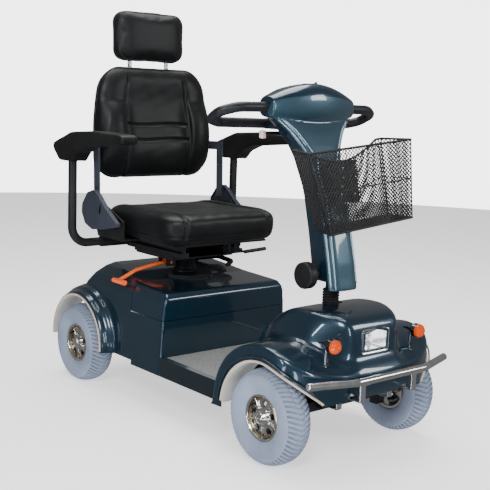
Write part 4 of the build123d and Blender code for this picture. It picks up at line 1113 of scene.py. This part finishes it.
for made in (cover_front, tiller_form):
    kept_faces(made, tiller_skin)
    thickened(made, 2.8)
carved(tiller_form, block("column_relief", (-70, -450, 425), (70, -340, 472)))
# the two ribs along the front cover are real ridges; their pale lacquer is a painted highlight along them
for hand, side in SIDES:
    for k, inset in enumerate((9, 17)):
        starts = [(side * 260, float(np.interp(z, SEAM_Z, SEAM_Y)) - inset, z)
                  for z in steps(462 + 8 * k, 905, 60)]
        rib = seam("tiller_rib_%d_%s" % (k, hand), cover_front, starts, (-side, 0, 0), 1.6, 0.9)
        placed(rib, "tiller", "highlight_paint")
placed(cover_front, "tiller", "tiller_paint", replaces=("tiller_front_cover",))
placed(tiller_form, "tiller", "body_paint", replaces=("tiller_rear_shell",))
for hand, side in SIDES:
    low, high = sorted((side * 52, side * 88))
    holder = bevelled(block("bar_holder_" + hand, (low, -256, 877), (high, -171, 907)), 8, 4)
    placed(holder, "tiller", "body_paint")
for k, z in enumerate((852, 873)):
    fork = bevelled(block("rocker_fork_%d" % k, (-10, -250, z), (10, -201, z + 6.6)), 2, 3)
    placed(fork, "tiller", "body_paint")


def eased(node, name, body, look, voxel, rounds):
    """The CAD piece's own form with every edge moulded soft."""
    made = copy_of(NODES[node], name)
    made.data.transform(NODES[node].matrix_world)
    return placed(remeshed(made, voxel, rounds), body, look, replaces=(node,))


for hand in ("left", "right"):
    pad = "armrest_pad_" + hand
    eased(pad, "armrest_foam_" + hand, BODY_OF[pad], "armrest_black", 2.6, 80)
eased("recliner_covers", "recliner_shells", BODY_OF["recliner_covers"], "grey_plastic", 1.8, 5)
eased("front_bumper", "front_bumper_tube", "chassis", SLOT_OF["front_bumper"], 2.2, 5)
eased("tilt_knob", "tilt_hand_knob", "tilt_knob", SLOT_OF["tilt_knob"], 1.6, 3)

# inner mudguards that follow the arches' lips
GUARD_X = 206


def rear_arc(radius, low, high):
    """Points (y, z) of an arc about the rear wheel arch, between two angles in degrees."""
    return [(REAR_ARCH[0] + radius * math.cos(a), REAR_ARCH[1] + radius * math.sin(a))
            for a in steps(math.radians(low), math.radians(high), 90)]


guards = []
for side in (-1, 1):
    points = []
    for x, y, z in [(abs(p[0]), p[1], p[2]) for p in front_lip if abs(p[0]) > 214 and p[2] > 131]:
        scale = 155.6 / math.hypot(y - ARCH_Y, z - ARCH_Z)
        y, z = ARCH_Y + (y - ARCH_Y) * scale, ARCH_Z + (z - ARCH_Z) * scale
        points += [(side * u, y, z) for u in steps(x, GUARD_X, 8)]
    guards.append(thickened(mesh_object("guard", points, grid_faces(len(points) // 8, 8)), 2.2))
    points = [(side * u, y, z) for y, z in rear_arc(149.8, -3.5, 183.5) for u in steps(293, GUARD_X, 8)]
    guards.append(thickened(mesh_object("guard", points, grid_faces(90, 8)), 2.2))
placed(joined("mudguards", *guards), "chassis", "liner_grey", replaces=("wheel_arch_liners",))
for hand, side in SIDES:
    arc = [(side * 293.5, y, z) for y, z in rear_arc(152, -3, 183)]
    placed(tube("rear_arch_lip_" + hand, arc, 3.2, 10), "chassis", "lip_beige")

# pale line along the battery cover's parting: a painted highlight, a thin pale tube standing in for the light
# the seam's edge catches
PARTING_X, PARTING_Y, PARTING_Z = 247.6, 65.4, DECK_Z - 0.8
loop = filleted([(-PARTING_X, COVER_Y, PARTING_Z), (-PARTING_X, PARTING_Y, PARTING_Z),
                 (PARTING_X, PARTING_Y, PARTING_Z), (PARTING_X, COVER_Y, PARTING_Z)], 14, 10)
placed(tube("cover_parting", loop, 1.5, 8), "chassis", "highlight_paint")

# rocker under the bar: a slim dark rod with a pale paddle at each end
ROD_Y, ROD_Z = -209, 866
rod_line = [(x, ROD_Y, ROD_Z) for x in steps(-112, 112, 12)]
placed(tube("rocker_rod", rod_line, 5.2, 16, True, True), "throttle_rocker", "black_plastic")
paddles = [block("paddle", (low_x, -214, 851), (low_x + 16, -198, 874)) for low_x in (-120, 104)]
paddles = [bevelled(paddle, 4, 4) for paddle in paddles]
placed(joined("rocker_paddles", *paddles), "throttle_rocker", "paddle_white", replaces=("throttle_rocker",))

# ---------------------------------------------------------------- studio

CAMERA_AT = Vector((-1.8746, -2.2357, 0.9592))
CAMERA_YAW, CAMERA_PITCH, CAMERA_ROLL = math.radians(-40.156), math.radians(8.727), math.radians(2.059)
LENS = 70.0
COOL = (0.82, 0.92, 1.0)

camera = bpy.data.objects.new("camera", bpy.data.cameras.new("camera"))
SCENE.collection.objects.link(camera)
camera.data.lens = LENS
camera.data.sensor_width = 36.0
away = Vector((math.sin(CAMERA_YAW) * math.cos(CAMERA_PITCH), -math.cos(CAMERA_YAW) * math.cos(CAMERA_PITCH),
               math.sin(CAMERA_PITCH)))
level = (-away).cross(Vector((0, 0, 1))).normalized()
upward = level.cross(-away)
right = level * math.cos(CAMERA_ROLL) + upward * math.sin(CAMERA_ROLL)
top = upward * math.cos(CAMERA_ROLL) - level * math.sin(CAMERA_ROLL)
camera.matrix_world = Matrix.Translation(CAMERA_AT) @ Matrix((right, top, away)).transposed().to_4x4()
SCENE.camera = camera

ground = plate("studio_floor", [(-9000, -9000), (9000, -9000), (9000, 9000), (-9000, 9000)], "xy", -20, -0.3)
ground.data.materials.append(LOOKS["floor"])
arc = [(6500 * math.sin(t), 6500 * math.cos(t)) for t in steps(0.0, 2 * math.pi, 121)]
wall = [(x, y, z) for z in (-20, 4200) for x, y in arc]
backdrop = mesh_object("studio_backdrop", wall, grid_faces(2, len(arc)))
backdrop.data.materials.append(LOOKS["backdrop"])
for stage_piece in (ground, backdrop):
    stage_piece.visible_glossy = False
backdrop.visible_diffuse = False

world = bpy.data.worlds.new("studio")
SCENE.world = world
world.use_nodes = True
background = world.node_tree.nodes["Background"]
background.inputs["Color"].default_value = (1.0, 1.0, 1.0, 1)
background.inputs["Strength"].default_value = 0.19


def softbox(name, at, towards, size, power, colour=(1, 1, 1)):
    """A rectangular lamp at one point, turned to another."""
    data = bpy.data.lights.new(name, "AREA")
    data.shape, data.size, data.size_y, data.energy, data.color = "RECTANGLE", size[0], size[1], power, colour
    lamp = bpy.data.objects.new(name, data)
    SCENE.collection.objects.link(lamp)
    lamp.location = at
    lamp.rotation_euler = (Vector(towards) - Vector(at)).to_track_quat("-Z", "Y").to_euler()


def low_panel(name, at, turn, size, power):
    """A narrow cool lamp lying on the floor and shining up, hidden from the camera."""
    softbox(name, at, (at[0], at[1], 1.0), size, power, COOL)
    lamp = bpy.data.objects[name]
    lamp.rotation_euler = (math.pi, 0, turn)
    lamp.visible_camera = False


low_panel("low_left", (-1.15, -0.58, 0.02), math.atan2(0.56, 0.79), (1.1, 0.14), 5)
low_panel("low_front", (-0.80, -1.12, 0.02), math.atan2(0.56, 0.79), (0.9, 0.12), 4)
softbox("key", (-2.6, -2.4, 2.7), (0, 0, 0.5), (1.0, 1.4), 105)
softbox("strip_left", (-3.7, -1.0, 1.0), (0, 0, 0.5), (0.22, 1.9), 42, COOL)
softbox("strip_front", (-0.6, -3.9, 1.0), (0, 0, 0.5), (0.2, 1.7), 36, COOL)
softbox("top", (0.2, 0.4, 3.4), (0, 0, 0.4), (2.6, 2.6), 150)
softbox("front", (2.4, -3.0, 1.8), (0, -0.2, 0.5), (1.0, 1.0), 42)
